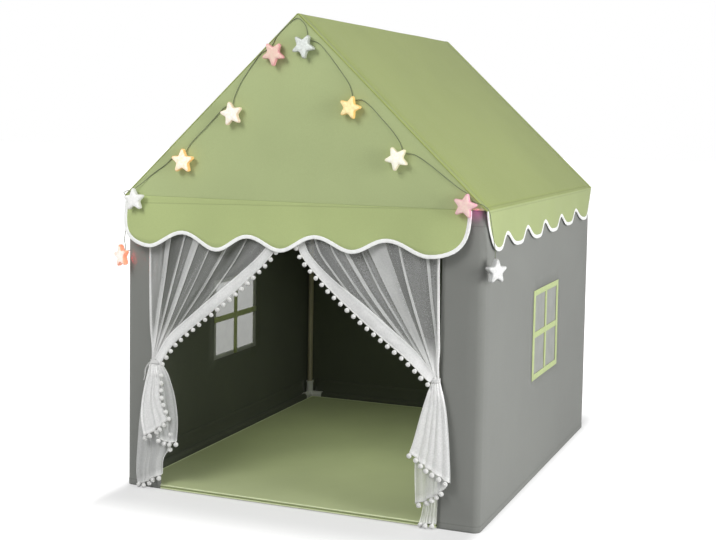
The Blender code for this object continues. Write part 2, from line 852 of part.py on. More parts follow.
def build_battery_box(plastic, knob_plastic):
    """A box with a battery bay, its sliding lid and its switch."""
    back = -half_width - seat_gap
    face = back - box_depth
    left = box_forward - box_width / 2
    right = box_forward + box_width / 2
    top = box_bottom + box_height
    lid_top = box_bottom + lid_height
    below = box_bottom - cut_overrun
    groove_in = face + lid_cover + lid_thickness
    bay_in = back - box_wall
    lip = box_wall + lid_lip

    shell = box_mesh((face, left, box_bottom), (back, right, top))
    groove = box_mesh(
        (face + lid_cover, left + box_wall, below), (groove_in, right - box_wall, lid_top),
    )
    slot = box_mesh(
        (face - cut_overrun, left + lip, below), (face + lid_cover + cut_overrun / 4, right - lip, lid_top),
    )
    bay = box_mesh(
        (groove_in - cut_overrun / 4, left + lip, box_bottom + box_wall),
        (bay_in, right - lip, lid_top - box_wall),
    )
    switch_z = (lid_top + top) / 2
    recess_half = switch_length / 2 + seat_gap
    recess_low = box_forward - recess_half - switch_travel / 2
    recess_high = box_forward + recess_half + switch_travel / 2
    recess = box_mesh(
        (face - cut_overrun, recess_low, switch_z - switch_width / 2 - seat_gap),
        (face + switch_recess, recess_high, switch_z + switch_width / 2 + seat_gap),
    )
    middle_x = (back + face) / 2
    sleeve = bar_mesh(
        Vector((middle_x, box_forward, top - box_wall)),
        Vector((middle_x, box_forward, top + sleeve_length)), sleeve_radius,
    )
    body = combine(shell, (sleeve,), (groove, slot, bay, recess))
    add_piece("battery_box", body, plastic)

    plate = box_mesh(
        (face + lid_cover + seat_gap, left + box_wall + seat_gap, box_bottom),
        (groove_in - seat_gap, right - box_wall - seat_gap, lid_top - seat_gap),
    )
    raised = box_mesh(
        (face, left + lip + seat_gap, box_bottom),
        (groove_in - seat_gap * 2, right - lip - seat_gap, lid_top - seat_gap),
    )
    ridges = []
    ridge_step = 3 * thumb_ridge
    for k in range(4):
        ridge_z = box_bottom + lid_height / 5 + k * ridge_step
        ridges.append(box_mesh(
            (face - thumb_ridge, left + 2 * lip, ridge_z),
            (face + thumb_ridge / 2, right - 2 * lip, ridge_z + thumb_ridge),
        ))
    lid = combine(plate, [raised] + ridges)
    lid_axis = pivot("battery_lid_axis", Vector((face, box_forward, lid_top)))
    add_piece("battery_lid", lid, plastic, parent=lid_axis)

    knob = box_mesh(
        (face - switch_proud, recess_low + seat_gap, switch_z - switch_width / 2),
        (face + switch_recess - seat_gap, recess_low + seat_gap + switch_length, switch_z + switch_width / 2),
    )
    knob_axis = pivot("battery_switch_axis", Vector((face, recess_low, switch_z)))
    add_piece("battery_switch", knob, knob_plastic, parent=knob_axis)


def main():
    start_scene()
    wood = make_material("pole wood", (0.68, 0.50, 0.30), 0.55)
    plastic = make_material("corner plastic", (0.80, 0.80, 0.78), 0.40)
    wall_cloth = make_material("grey wall cloth", (0.27, 0.28, 0.25), 0.85)
    roof_cloth = make_material("green roof cloth", (0.38, 0.45, 0.20), 0.80)
    window_cloth = make_material("window tape and mesh", (0.55, 0.64, 0.30), 0.80)
    sheer = make_material("white sheer", (0.85, 0.85, 0.84), 0.75)
    ribbon = make_material("white ribbon", (0.88, 0.88, 0.86), 0.60)
    padding = make_material("green mat", (0.34, 0.40, 0.19), 0.80)
    lamp = make_material("star lamp", (0.92, 0.86, 0.72), 0.35)
    sleeve = make_material("wire sleeve", (0.08, 0.09, 0.06), 0.50)
    box_plastic = make_material("battery box plastic", (0.82, 0.82, 0.80), 0.45)
    knob_plastic = make_material("switch plastic", (0.05, 0.05, 0.05), 0.45)

    build_frame(wood, plastic)
    for side in side_sign:
        build_side(side, wall_cloth, window_cloth)
    build_end_walls(wall_cloth)
    build_roof(roof_cloth)
    build_valances(roof_cloth)
    for side in side_sign:
        build_curtain(side, sheer, ribbon)
    build_mat(padding)
    build_stars(lamp)
    build_wire(sleeve)
    build_battery_box(box_plastic, knob_plastic)


main()
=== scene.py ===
"""Looks of the children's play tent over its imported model.

Metres, +Z up, door facing -Y, as in the model. Every length repeated here is the model's own.
"""
from math import atan, ceil, copysign, cos, hypot, pi, radians, sin, sqrt, tan, tau

import bmesh
import bpy
from mathutils import Matrix, Vector, noise


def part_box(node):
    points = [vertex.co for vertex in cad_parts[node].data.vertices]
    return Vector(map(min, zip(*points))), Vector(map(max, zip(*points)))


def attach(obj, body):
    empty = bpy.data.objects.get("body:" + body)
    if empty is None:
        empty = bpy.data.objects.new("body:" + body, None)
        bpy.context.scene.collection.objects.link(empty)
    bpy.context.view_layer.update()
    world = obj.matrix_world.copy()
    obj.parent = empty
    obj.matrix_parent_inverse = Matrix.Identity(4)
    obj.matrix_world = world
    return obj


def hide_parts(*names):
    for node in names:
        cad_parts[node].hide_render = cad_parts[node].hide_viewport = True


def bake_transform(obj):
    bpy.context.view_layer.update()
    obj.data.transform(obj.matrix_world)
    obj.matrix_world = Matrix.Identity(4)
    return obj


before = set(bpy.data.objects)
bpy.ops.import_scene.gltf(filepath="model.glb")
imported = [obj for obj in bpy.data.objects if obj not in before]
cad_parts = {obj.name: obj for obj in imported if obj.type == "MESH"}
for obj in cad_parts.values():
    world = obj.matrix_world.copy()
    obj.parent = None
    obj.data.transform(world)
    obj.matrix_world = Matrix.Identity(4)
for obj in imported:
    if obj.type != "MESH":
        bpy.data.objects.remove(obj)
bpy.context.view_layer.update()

# Sizes that repeat the model's
half_width = 0.535
half_depth = 0.64
eave_height = 0.848
ridge_height = 1.36
cloth = 0.002
roof_half = 0.541
roof_front = 0.646
wall_top = 0.8505
door_half = 0.42
door_top = 0.79
pitch = atan((ridge_height - eave_height) / roof_half)
window_offset = 0.036
window_half_y = 0.156
window_half_z = 0.136
window_height = {"left": 0.405, "right": 0.44}
tape_width = 0.024
tape_thickness = 0.0014
crossbar_width = 0.018
side_sign = {"left": -1, "right": 1}
# The air between two pieces of cloth that lie on each other
gap = 0.0003

# Small tools


def ramp(value, low, high):
    """0 below low, 1 above high, smooth between."""
    t = min(1, max(0, (value - low) / (high - low)))
    return t * t * (3 - 2 * t)


def wobble(x, y, z=0):
    """Smooth noise from -1 to 1."""
    return noise.noise(Vector((x, y, z)))


def dome(u):
    """1 in the middle of a width that runs from 0 to 1, round down to 0 at its ends."""
    return sqrt(max(0, 1 - (2 * u - 1) ** 2))


def steps(low, high, count):
    """Even places from low to high, both ends in."""
    return [low + (high - low) * k / count for k in range(count + 1)]


def with_cuts(low, high, step, cuts):
    """Sorted places from low to high, at most step apart, with every cut among them."""
    marks = sorted({round(c, 6) for c in (low, high, *cuts) if low - 1e-7 <= c <= high + 1e-7})
    places = []
    for a, b in zip(marks, marks[1:]):
        parts = max(1, ceil((b - a) / step - 1e-6))
        places += [a + (b - a) * k / parts for k in range(parts)]
    return places + [marks[-1]]


def mirrored(values):
    return [s * v for v in values for s in (-1, 1)]


def bend_through(a, b, c, d, t):
    """The smooth curve from b to c, with a before it and d after it, at share t."""
    bend = (2 * a - 5 * b + 4 * c - d) * t ** 2 + (3 * b - a - 3 * c + d) * t ** 3
    return (2 * b + (c - a) * t + bend) / 2


def smooth_line(knots, parts):
    """A smooth line through knots in millimetres, parts pieces between each two."""
    knots = [Vector([length / 1000 for length in p]) for p in knots]
    knots = [2 * knots[0] - knots[1]] + knots + [2 * knots[-1] - knots[-2]]
    fine = [
        bend_through(a, b, c, d, k / parts)
        for a, b, c, d in zip(knots, knots[1:], knots[2:], knots[3:]) for k in range(parts)
    ]
    return fine + [knots[-2]]


def even_line(knots, count):
    """Places at even distances along a smooth line through knots of x and z in millimetres."""
    fine = smooth_line([(x, 0, z) for x, z in knots], 12)
    gone = [0]
    for a, b in zip(fine, fine[1:]):
        gone.append(gone[-1] + (b - a).length)
    places = []
    k = 0
    for due in steps(0, gone[-1], count):
        while k < len(fine) - 2 and gone[k + 1] < due:
            k += 1
        places.append(fine[k].lerp(fine[k + 1], (due - gone[k]) / max(1e-9, gone[k + 1] - gone[k])))
    return places


def circle(middle, across, over, count):
    """Points round a middle, from its two radii."""
    angles = [tau * k / count for k in range(count)]
    return [middle + across * cos(a) + over * sin(a) for a in angles]


def net(columns, rows, point, keep=None, wrap=False, fold=None, bm=None):
    """A quad net of columns by rows cells, with a fold value at each point where one is given."""
    bm = bmesh.new() if bm is None else bm
    if fold:
        layer = bm.verts.layers.float.get("fold") or bm.verts.layers.float.new("fold")
    across = columns if wrap else columns + 1
    grid = []
    for i in range(across):
        grid.append([bm.verts.new(point(i, j)) for j in range(rows + 1)])
        if fold:
            for j, vert in enumerate(grid[i]):
                vert[layer] = fold(i, j)
    for i in range(columns):
        k = (i + 1) % across
        for j in range(rows):
            if keep is None or keep(i, j):
                bm.faces.new((grid[i][j], grid[k][j], grid[k][j + 1], grid[i][j + 1]))
    bmesh.ops.delete(bm, geom=[v for v in bm.verts if not v.link_faces], context="VERTS")
    return bm


def join_rings(bm, rings):
    """Faces between neighbouring rings of points."""
    for first, second in zip(rings, rings[1:]):
        for k in range(len(first)):
            m = (k + 1) % len(first)
            bm.faces.new((first[k], first[m], second[m], second[k]))


def loft(loops, closed=True, bm=None):
    """A skin over loops of points: round to the first one again, or capped at both ends."""
    bm = bmesh.new() if bm is None else bm
    rings = [[bm.verts.new(p) for p in loop] for loop in loops]
    join_rings(bm, rings + rings[:1] if closed else rings)
    if not closed:
        bm.faces.new(list(reversed(rings[0])))
        bm.faces.new(rings[-1])
    return bm


def link(name, data):
    """A new object of some data in the scene."""
    thing = bpy.data.objects.new(name, data)
    bpy.context.scene.collection.objects.link(thing)
    return thing


def add_piece(name, bm, surface, replaces=(), body="tent", thickness=0, blend=None):
    """Put a mesh in the scene, thickened where it is cloth, and say what it rides on."""
    bmesh.ops.recalc_face_normals(bm, faces=bm.faces)
    mesh = bpy.data.meshes.new(name)
    bm.to_mesh(mesh)
    bm.free()
    for polygon in mesh.polygons:
        polygon.use_smooth = True
    piece = link(name, mesh)
    mesh.materials.append(surface)
    if thickness:
        thick = piece.modifiers.new("thick", "SOLIDIFY")
        thick.thickness = thickness
        thick.offset = 0
        shown = piece.evaluated_get(bpy.context.evaluated_depsgraph_get())
        baked = bpy.data.meshes.new_from_object(shown)
        piece.modifiers.clear()
        piece.data = baked
        bpy.data.meshes.remove(mesh)
        baked.name = name
    if blend:
        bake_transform(piece)
    else:
        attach(piece, body)
    if replaces:
        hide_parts(*replaces)
    return piece


def resurface(piece, surface, chosen):
    """A second material on the faces that a test picks out."""
    piece.data.materials.append(surface)
    for polygon in piece.data.polygons:
        if chosen(polygon):
            polygon.material_index = 1


# Materials


class Nodes:
    """A node tree that calls put together, from its values to its output."""

    def __init__(self, tree):
        self.tree = tree

    def put(self, socket, value):
        if isinstance(value, bpy.types.NodeSocket):
            self.tree.links.new(value, socket)
        else:
            socket.default_value = value

    def add(self, kind, values=(), output=0, **settings):
        """A node's output, from values for its first inputs or a table of values for named ones."""
        node = self.tree.nodes.new("ShaderNode" + kind)
        for key, value in settings.items():
            setattr(node, key, value)
        for key, value in values.items() if isinstance(values, dict) else enumerate(values):
            self.put(node.inputs[key], value)
        return node.outputs[output]

    def math(self, operation, *values, clamp=False):
        return self.add("Math", values, operation=operation, use_clamp=clamp)

    def seen_by(self, *kinds):
        """1 for rays of these kinds, 0 for the rest."""
        rays = self.add("LightPath").node.outputs
        seen = rays[kinds[0]]
        for kind in kinds[1:]:
            seen = self.math("MAXIMUM", seen, rays[kind])
        return seen


class Surface(Nodes):
    """A Principled material and the few nodes that its texture is made of."""

    def __init__(self, name, colour, roughness, **inputs):
        self.material = bpy.data.materials.new(name)
        self.material.use_nodes = True
        super().__init__(self.material.node_tree)
        self.shader = self.tree.nodes["Principled BSDF"]
        self.colour = colour
        self.set(Base_Color=(*colour, 1), Roughness=roughness, **inputs)
        self.place = self.add("TexCoord", output="Object")
        self.height = None

    def set(self, **inputs):
        for key, value in inputs.items():
            self.put(self.shader.inputs[key.replace("_", " ")], value)

    def dot(self, direction):
        return self.add("VectorMath", (self.place, direction), "Value", operation="DOT_PRODUCT")

    def stretched(self, direction, share):
        """The place with its part along a direction shortened, so that noise runs that way."""
        along = {0: direction, "Scale": self.math("MULTIPLY", self.dot(direction), share)}
        part = self.add("VectorMath", along, operation="SCALE")
        return self.add("VectorMath", (self.place, part), operation="SUBTRACT")

    def noise(self, scale, detail=2, rough=0.5, place=None):
        values = {"Vector": place or self.place, "Scale": scale, "Detail": detail, "Roughness": rough}
        return self.add("TexNoise", values, "Fac")

    def mix(self, factor, first, second):
        values = {0: factor}
        for key, value in ((6, first), (7, second)):
            values[key] = (*value, 1) if isinstance(value, tuple) else value
        return self.add("Mix", values, 2, data_type="RGBA")

    def spread(self, value, reach):
        """A value mapped so that 0 and 1 are reached that far to either side of a half."""
        return self.add("MapRange", (value, 0.5 - reach, 0.5 + reach))

    def line(self, value, position, half):
        """1 on a thin line where the value is the position, 0 away from it."""
        off = self.math("ABSOLUTE", self.math("SUBTRACT", value, position))
        return self.math("SUBTRACT", 1, self.math("DIVIDE", off, half, clamp=True), clamp=True)

    def raise_by(self, value, amount):
        """Add a share of a value to the height that the bump follows."""
        part = self.math("MULTIPLY", value, amount)
        self.height = part if self.height is None else self.math("ADD", self.height, part)

    def weave(self, first, second, spacing, amount):
        """Two sets of threads that cross."""
        warp, weft = (
            self.math("SINE", self.math("MULTIPLY", self.dot(way), tau / spacing))
            for way in (first, second)
        )
        self.raise_by(self.math("MAXIMUM", warp, weft), amount)

    def stitches(self, value, position, run, length=0.0035, half=0.0007):
        """A dashed row of thread along a line."""
        dash = self.math("FRACT", self.math("DIVIDE", self.dot(run), length))
        sewn = self.math("LESS_THAN", self.math("ABSOLUTE", self.math("SUBTRACT", dash, 0.5)), 0.36)
        return self.math("MULTIPLY", self.line(value, position, half), sewn)

    def vary(self, factor, darker=0.93, lighter=1.06):
        """The colour, a little darker and lighter from place to place."""
        shades = [tuple(min(1, c * share) for c in self.colour) for share in (darker, lighter)]
        return self.mix(factor, *shades)

    def blend_of(self, first, second, share):
        """A share of the first value and the rest of the second."""
        parts = self.math("MULTIPLY", first, share), self.math("MULTIPLY", second, round(1 - share, 6))
        return self.math("ADD", *parts)

    def done(self):
        if self.height is not None:
            values = {"Strength": 1, "Distance": 1, "Height": self.height}
            self.set(Normal=self.add("Bump", values))
        return self.material


across_x, across_y, upright, round_walls = (1, 0, 0), (0, 1, 0), (0, 0, 1), (1, 1, 0)
down_slope = (cos(pitch), 0, -sin(pitch))


def cloth_surface(name, colour, first, second, seams=(), roughness=0.82):
    """Woven polyester with soft creases, and rows of stitches where seams are: a darker thread, and painted
    shade along each seam's crease.
    """
    s = Surface(name, colour, roughness, Sheen_Weight=0.15, Sheen_Roughness=0.5)
    tone = s.blend_of(s.noise(2.6, 3), s.noise(420, 1), 0.7)
    colour_now = s.vary(s.spread(tone, 0.15))
    s.raise_by(s.noise(9, 3), 0.0016)
    s.raise_by(s.noise(34), 0.00035)
    s.weave(first, second, 0.0016, 0.00006)
    for across, position, run in seams:
        value = s.dot(across)
        thread = s.stitches(value, position, run)
        crease = s.line(value, position, 0.0026)
        # Painted shade: the crease beside each seam is darkened in colour, on top of its dent in the bump.
        shade = s.math("MAXIMUM", s.math("MULTIPLY", thread, 0.7), s.math("MULTIPLY", crease, 0.42))
        colour_now = s.mix(shade, colour_now, tuple(c * 0.62 for c in colour))
        s.raise_by(crease, -0.0004)
    s.set(Base_Color=colour_now)
    return s.done()


def plain_surface(name, colour, roughness, mottle, relief=None, threads=None, **inputs):
    """One colour, softly mottled, and where they are given, a fine relief and threads that cross."""
    s = Surface(name, colour, roughness, **inputs)
    scale, detail, reach, darker, lighter = mottle
    s.set(Base_Color=s.vary(s.spread(s.noise(scale, detail), reach), darker, lighter))
    if relief:
        scale, detail, amount = relief
        s.raise_by(s.noise(scale, detail), amount)
    if threads:
        s.weave(*threads)
    return s.done()


def tape_surface(name, colour, spacing=0.0012):
    return plain_surface(
        name, colour, 0.75, (60, 2, 0.15, 0.95, 1.03), (45, 2, 0.0004),
        ((1, 1, 0.3), (0.3, -0.3, 1), spacing, 0.00008), Sheen_Weight=0.2, Sheen_Roughness=0.5,
    )


def mat_surface(name, colour):
    return plain_surface(
        name, colour, 0.78, (3, 3, 0.15, 0.95, 1.05), (11, 3, 0.002),
        (across_x, across_y, 0.0016, 0.00006), Sheen_Weight=0.15, Sheen_Roughness=0.5,
    )


def net_surface(side, solid):
    """Fine insect net, with threads that cross."""
    return plain_surface(
        side + " window net", (0.4, 0.41, 0.385), 0.8, (24, 2, 0.15, 0.94, 1.04),
        threads=(across_y, upright, 0.0022, 0.0003), Alpha=solid,
    )


def plastic_surface(name, colour, roughness=0.38):
    """Moulded plastic with a fine grain."""
    return plain_surface(name, colour, roughness, (40, 3, 0.2, 0.95, 1.03), (600, 2, 0.00012))


def sheer_surface(name, clear, solid):
    """White voile, more solid where it is folded on itself, and thinner where the fold value falls below
    zero, as the fans' painted shade does.
    """
    s = Surface(name, (0.84, 0.85, 0.84), 0.7, Sheen_Weight=0.3, Sheen_Roughness=0.4)
    fold = s.add("Attribute", output="Fac", attribute_name="fold")
    thread = s.spread(s.noise(260, 1), 0.2)
    alpha = s.math("ADD", clear, s.math("MULTIPLY", fold, solid - clear), clamp=True)
    grain = s.math("ADD", 0.94, s.math("MULTIPLY", thread, 0.12))
    s.set(
        Base_Color=s.mix(fold, (0.88, 0.89, 0.88), (0.96, 0.96, 0.95)),
        Alpha=s.math("MULTIPLY", alpha, grain, clamp=True),
    )
    s.raise_by(s.noise(120), 0.0002)
    return s.done()


def wood_surface(name, direction):
    """Pine, with its grain along the pole."""
    s = Surface(name, (0.38, 0.34, 0.24), 0.55)
    along = s.stretched(direction, 0.94)
    grain = s.noise(90, 4, 0.6, along)
    tone = s.blend_of(grain, s.noise(26, place=along), 0.55)
    s.set(Base_Color=s.mix(s.spread(tone, 0.12), (0.3, 0.27, 0.18), (0.44, 0.4, 0.29)))
    s.raise_by(grain, 0.0004)
    return s.done()


def lamp_surface(name, edge, core, glow):
    """Milky plastic lit from inside, whiter towards the middle."""
    s = Surface(name, core, 0.32, Coat_Weight=0.25, Coat_Roughness=0.2)
    share = s.add("Attribute", output="Fac", attribute_name="core")
    cloud = s.math("MULTIPLY", s.math("SUBTRACT", s.noise(150, 3, 0.6), 0.54), 1.4)
    colour = s.mix(s.math("ADD", share, cloud, clamp=True), edge, core)
    s.set(Base_Color=colour, Emission_Color=colour, Emission_Strength=glow)
    s.raise_by(s.noise(120), 0.0016)
    return s.done()


def level_seam(height):
    return upright, height, round_walls


wall_cloth = cloth_surface(
    "wall cloth", (0.217, 0.223, 0.207), round_walls, upright, seams=(level_seam(0.016), level_seam(0.806)),
)
# The roof's green is the gables' green made darker, as painted shade on the slopes.
roof_cloth_painted_shade = cloth_surface(
    "roof cloth", (0.305, 0.362, 0.113), across_y, down_slope,
    seams=(
        (across_y, -0.6215, (1, 0, 1)), (across_y, 0.6215, (1, 0, 1)), (upright, 0.8545, across_y),
    ),
)
# The inside faces of the walls and their hems: the grey wall cloth painted dark olive, as painted shade for
# the dim inside of the tent.
wall_inside_painted_shade = cloth_surface("wall inside painted shade", (0.08, 0.089, 0.064), round_walls, upright, roughness=0.9)
gable_cloth = cloth_surface("gable cloth", (0.423, 0.492, 0.241), across_x, upright)
# The side and back valances take the front valance's green made darker, as painted shade.
valance_cloth = cloth_surface(
    "valance cloth", (0.376, 0.438, 0.196), round_walls, upright, seams=(level_seam(0.8415),),
)
# Its slanted seam row marks where the valance meets the gable, and the crease there is painted shade.
front_valance_cloth = cloth_surface(
    "front valance cloth", (0.423, 0.497, 0.219), round_walls, upright,
    seams=(((-0.0223, 0, 1), 0.8374, across_x),),
)
binding_tape = tape_surface("binding tape", (0.92, 0.93, 0.91))
ribbon_satin = tape_surface("ribbon satin", (0.8, 0.8, 0.79), 0.0008)
window_tape = tape_surface("window tape", (0.5, 0.59, 0.27))
# The crossbars' inward faces: the tape's green made darker, as painted shade.
window_tape_painted_shade = tape_surface("window tape back painted shade", (0.33, 0.37, 0.16))
# The frame's inward faces, seen through the net from inside: painted white as painted light, so the net's
# border looks lit from outside.
window_tape_painted_light = tape_surface("window tape inside painted light", (0.9, 0.92, 0.88))
welt_cloth = tape_surface("mat welt", (0.7, 0.76, 0.48))
fan_voile = sheer_surface("fan voile", 0.2, 0.84)
tail_voile = sheer_surface("tail voile", 0.45, 0.97)
hem_voile = sheer_surface("hem voile", 0.66, 0.96)
yarn = plain_surface(
    "pompom yarn", (0.84, 0.84, 0.82), 0.9, (700, 2, 0.2, 0.86, 1.04), (900, 2, 0.0016),
    Sheen_Weight=0.6, Sheen_Roughness=0.6,
)
# The same net on both sides, the left one thinner so that, seen from inside against the white outside, it
# reads as lit from behind: painted light.
net_cloth = {side: net_surface(side, solid) for side, solid in (("left", 0.79), ("right", 0.93))}
mat_cloth = mat_surface("mat cloth", (0.43, 0.485, 0.25))
# The mat's sides: the mat's green made darker, as painted shade on its upright faces.
mat_side_painted_shade = mat_surface("mat side painted shade", (0.26, 0.31, 0.13))
connector_plastic = plastic_surface("connector plastic", (0.76, 0.76, 0.74))
box_plastic = plastic_surface("battery box plastic", (0.8, 0.8, 0.78), 0.42)
knob_plastic = plastic_surface("switch plastic", (0.04, 0.04, 0.045), 0.4)
wire_sleeve = plastic_surface("wire sleeve", (0.15, 0.175, 0.105), 0.45)


# Frame: the model's own poles, connectors and battery box

plastic_of = {"battery_box": box_plastic, "battery_lid": box_plastic, "battery_switch": knob_plastic}
wood_of = {}


def pole_wood(name):
    """Wood with its grain along the pole of this name, shared by poles that lie the same way."""
    if name.startswith("post_"):
        direction = (0, 0, 1)
    elif name.startswith("rafter"):
        lean = -1 if name.endswith("left") else 1
        direction = (lean * cos(pitch), 0, -sin(pitch))
    elif name.endswith(("back", "front")):
        direction = (1, 0, 0)
    else:
        direction = (0, 1, 0)
    if direction not in wood_of:
        wood_of[direction] = wood_surface(f"pole wood {len(wood_of) + 1}", direction)
    return wood_of[direction]


for name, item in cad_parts.items():
    if name.startswith(("post_", "base_rail", "eave_rail", "rafter", "ridge_pole")):
        choice = pole_wood(name)
    elif "connector" in name:
        choice = connector_plastic
    elif name in plastic_of:
        choice = plastic_of[name]
    else:
        continue
    for slot in item.material_slots:
        slot.material = choice


# Walls: one cloth round the tent, with the door and two windows cut out

wall_x = half_width - cloth / 2
wall_y = half_depth - cloth / 2
corner_radius = 0.018
hole_margin = 0.004
hole_half_y = window_half_y - hole_margin
hole_half_z = window_half_z - hole_margin
# The top of the hem at the foot and of the one over the door, and how far their doubled cloth stands out
foot_hem_top, foot_hem_out = 0.0165, 0.0005
door_hem_top, door_hem_out = door_top + 0.0145, 0.0004


def swell(place):
    """How far slack cloth stands out from its plane."""
    x, y, z = place
    wide = 0.5 + 0.5 * wobble(x * 3 + y * 3, y * 1.1 - x, z * 2.2)
    fine = wobble(x * 9 - y * 8, 3, z * 6)
    held = ramp(z, 0, 0.12) * ramp(wall_top - z, 0, 0.15)
    return held * (0.0016 * wide + 0.0004 * fine)


def wall_path():
    """Places in plan round the tent, each with its outward direction, from the door's left edge."""
    x_end = wall_x - corner_radius
    y_end = wall_y - corner_radius
    hole_marks = (window_offset - hole_half_y, window_offset + hole_half_y)
    strip = with_cuts(door_half, x_end, 0.03, (door_half + 0.012,))[:-1]
    side = with_cuts(-y_end, y_end, 0.045, hole_marks)[1:-1]
    path = [(-x, -wall_y, 0, -1) for x in strip]

    over_door = steps(door_half, -door_half, 20)[1:-1]
    for cx, cy, start, straight in (
        (-x_end, -y_end, 270, [(-wall_x, y, -1, 0) for y in side]),
        (-x_end, y_end, 180, [(x, wall_y, 0, 1) for x in steps(-x_end, x_end, 22)[1:-1]]),
        (x_end, y_end, 90, [(wall_x, y, 1, 0) for y in reversed(side)]),
        (x_end, -y_end, 0, [(x, -wall_y, 0, -1) for x in strip[::-1] + over_door]),
    ):
        for k in range(6):
            angle = radians(start - 90 * k / 5)
            nx, ny = cos(angle), sin(angle)
            path.append((cx + corner_radius * nx, cy + corner_radius * ny, nx, ny))
        path += straight
    return path


def build_sleeve(end):
    """The wall's hem, folded over the rail at its foot and down to the mat."""
    low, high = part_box("base_rail_" + end)
    middle_z = (low[2] + high[2]) / 2
    radius = (high[2] - low[2]) / 2 + 0.0012
    along = 0 if end == "back" else 1
    side = {"left": -1, "right": 1, "back": 1}[end]
    across = 1 - along
    centre = (low[across] + high[across]) / 2 * side
    wall_face = (half_depth if end == "back" else half_width) - cloth - 0.0004
    section = [(wall_face, 0.072), (wall_face - 0.0006, 0.06), (wall_face - 0.003, 0.048)]
    for angle in map(radians, range(-50, 91, 14)):
        section.append((centre - radius * sin(angle), middle_z + radius * cos(angle)))
    foot = section[-1][0]
    section += [(foot - 0.0004, middle_z * 0.66), (foot - 0.0012, middle_z * 0.33), (foot - 0.003, 0.0012)]
    run = steps(low[along] + 0.001, high[along] - 0.001, 46)

    def point(i, j):
        out, z = section[j]
        slack = 0.0005 * (1 + wobble(run[i] * 14, z * 30, side)) * ramp(j, 2, 5)
        place = [0, 0, z]
        place[across] = side * (out - slack)
        place[along] = run[i]
        return Vector(place)

    bm = net(len(run) - 1, len(section) - 1, point)
    # The hem takes the dark painted-shade colour of the walls' inside.
    return add_piece("wall_hem_" + end, bm, wall_inside_painted_shade, thickness=0.0008)


def build_walls():
    path = wall_path()
    marks = [0.004, 0.016, 0.0175, 0.04, door_top, door_top + 0.014, door_top + 0.0155]
    for height in window_height.values():
        marks += [height - hole_half_z, height + hole_half_z]
    levels = with_cuts(0, wall_top, 0.045, marks)

    def point(i, j):
        x, y, nx, ny = path[i]
        flat = Vector((x, y, levels[j]))
        at_corner = abs(nx * ny) > 0.01
        out = 0 if at_corner else swell(flat)
        if flat.z < foot_hem_top:
            out += foot_hem_out
        if door_top - 0.001 < flat.z < door_hem_top and abs(x) <= door_half:
            out += door_hem_out
        return flat + Vector((nx, ny, 0)) * out

    def keep(i, j):
        x, y = (sum(pair) / 2 for pair in zip(path[i][:2], path[(i + 1) % len(path)][:2]))
        z = (levels[j] + levels[j + 1]) / 2
        if y < -half_depth + 0.01 and abs(x) < door_half:
            return z > door_top
        if abs(abs(x) - wall_x) < 0.001 and abs(y - window_offset) < hole_half_y:
            return abs(z - window_height["left" if x < 0 else "right"]) > hole_half_z
        return True

    def faces_in(polygon):
        facing = 0
        for c, n, wall in zip(polygon.center, polygon.normal, (wall_x, wall_y)):
            if abs(c) > wall - 0.012:
                facing += copysign(n, n * c)
        return facing < -0.5

    piece = add_piece(
        "walls", net(len(path), len(levels) - 1, point, keep, wrap=True), wall_cloth,
        replaces=("wall_left", "wall_right", "wall_back", "wall_front"), thickness=cloth,
    )
    # The inward faces of the walls get the dark painted-shade colour.
    resurface(piece, wall_inside_painted_shade, faces_in)
    sleeves = [build_sleeve(end) for end in ("left", "right", "back")]


# Windows: a net pane behind a taped frame with a crossbar each way

# How wide the frame's tapes are, as shares of the tape, and how far the crossbars end short of them
frame_side_share = 0.92
frame_level_share = 0.72
bar_short = 0.005


def side_point(sign, y, z, out):
    """A place on a side wall, a little way out from its outer face."""
    flat = Vector((sign * wall_x, y, z))
    return flat + Vector((sign * (swell(flat) + cloth / 2 + out), 0, 0))


def flat_section(width, corner=0.0011):
    """Across and out for a flat tape's rounded section."""
    half = width / 2
    side = tape_thickness * 0.6
    return [
        (-half, 0), (-half, side), (-half + corner, tape_thickness),
        (half - corner, tape_thickness), (half, side), (half, 0),
    ]


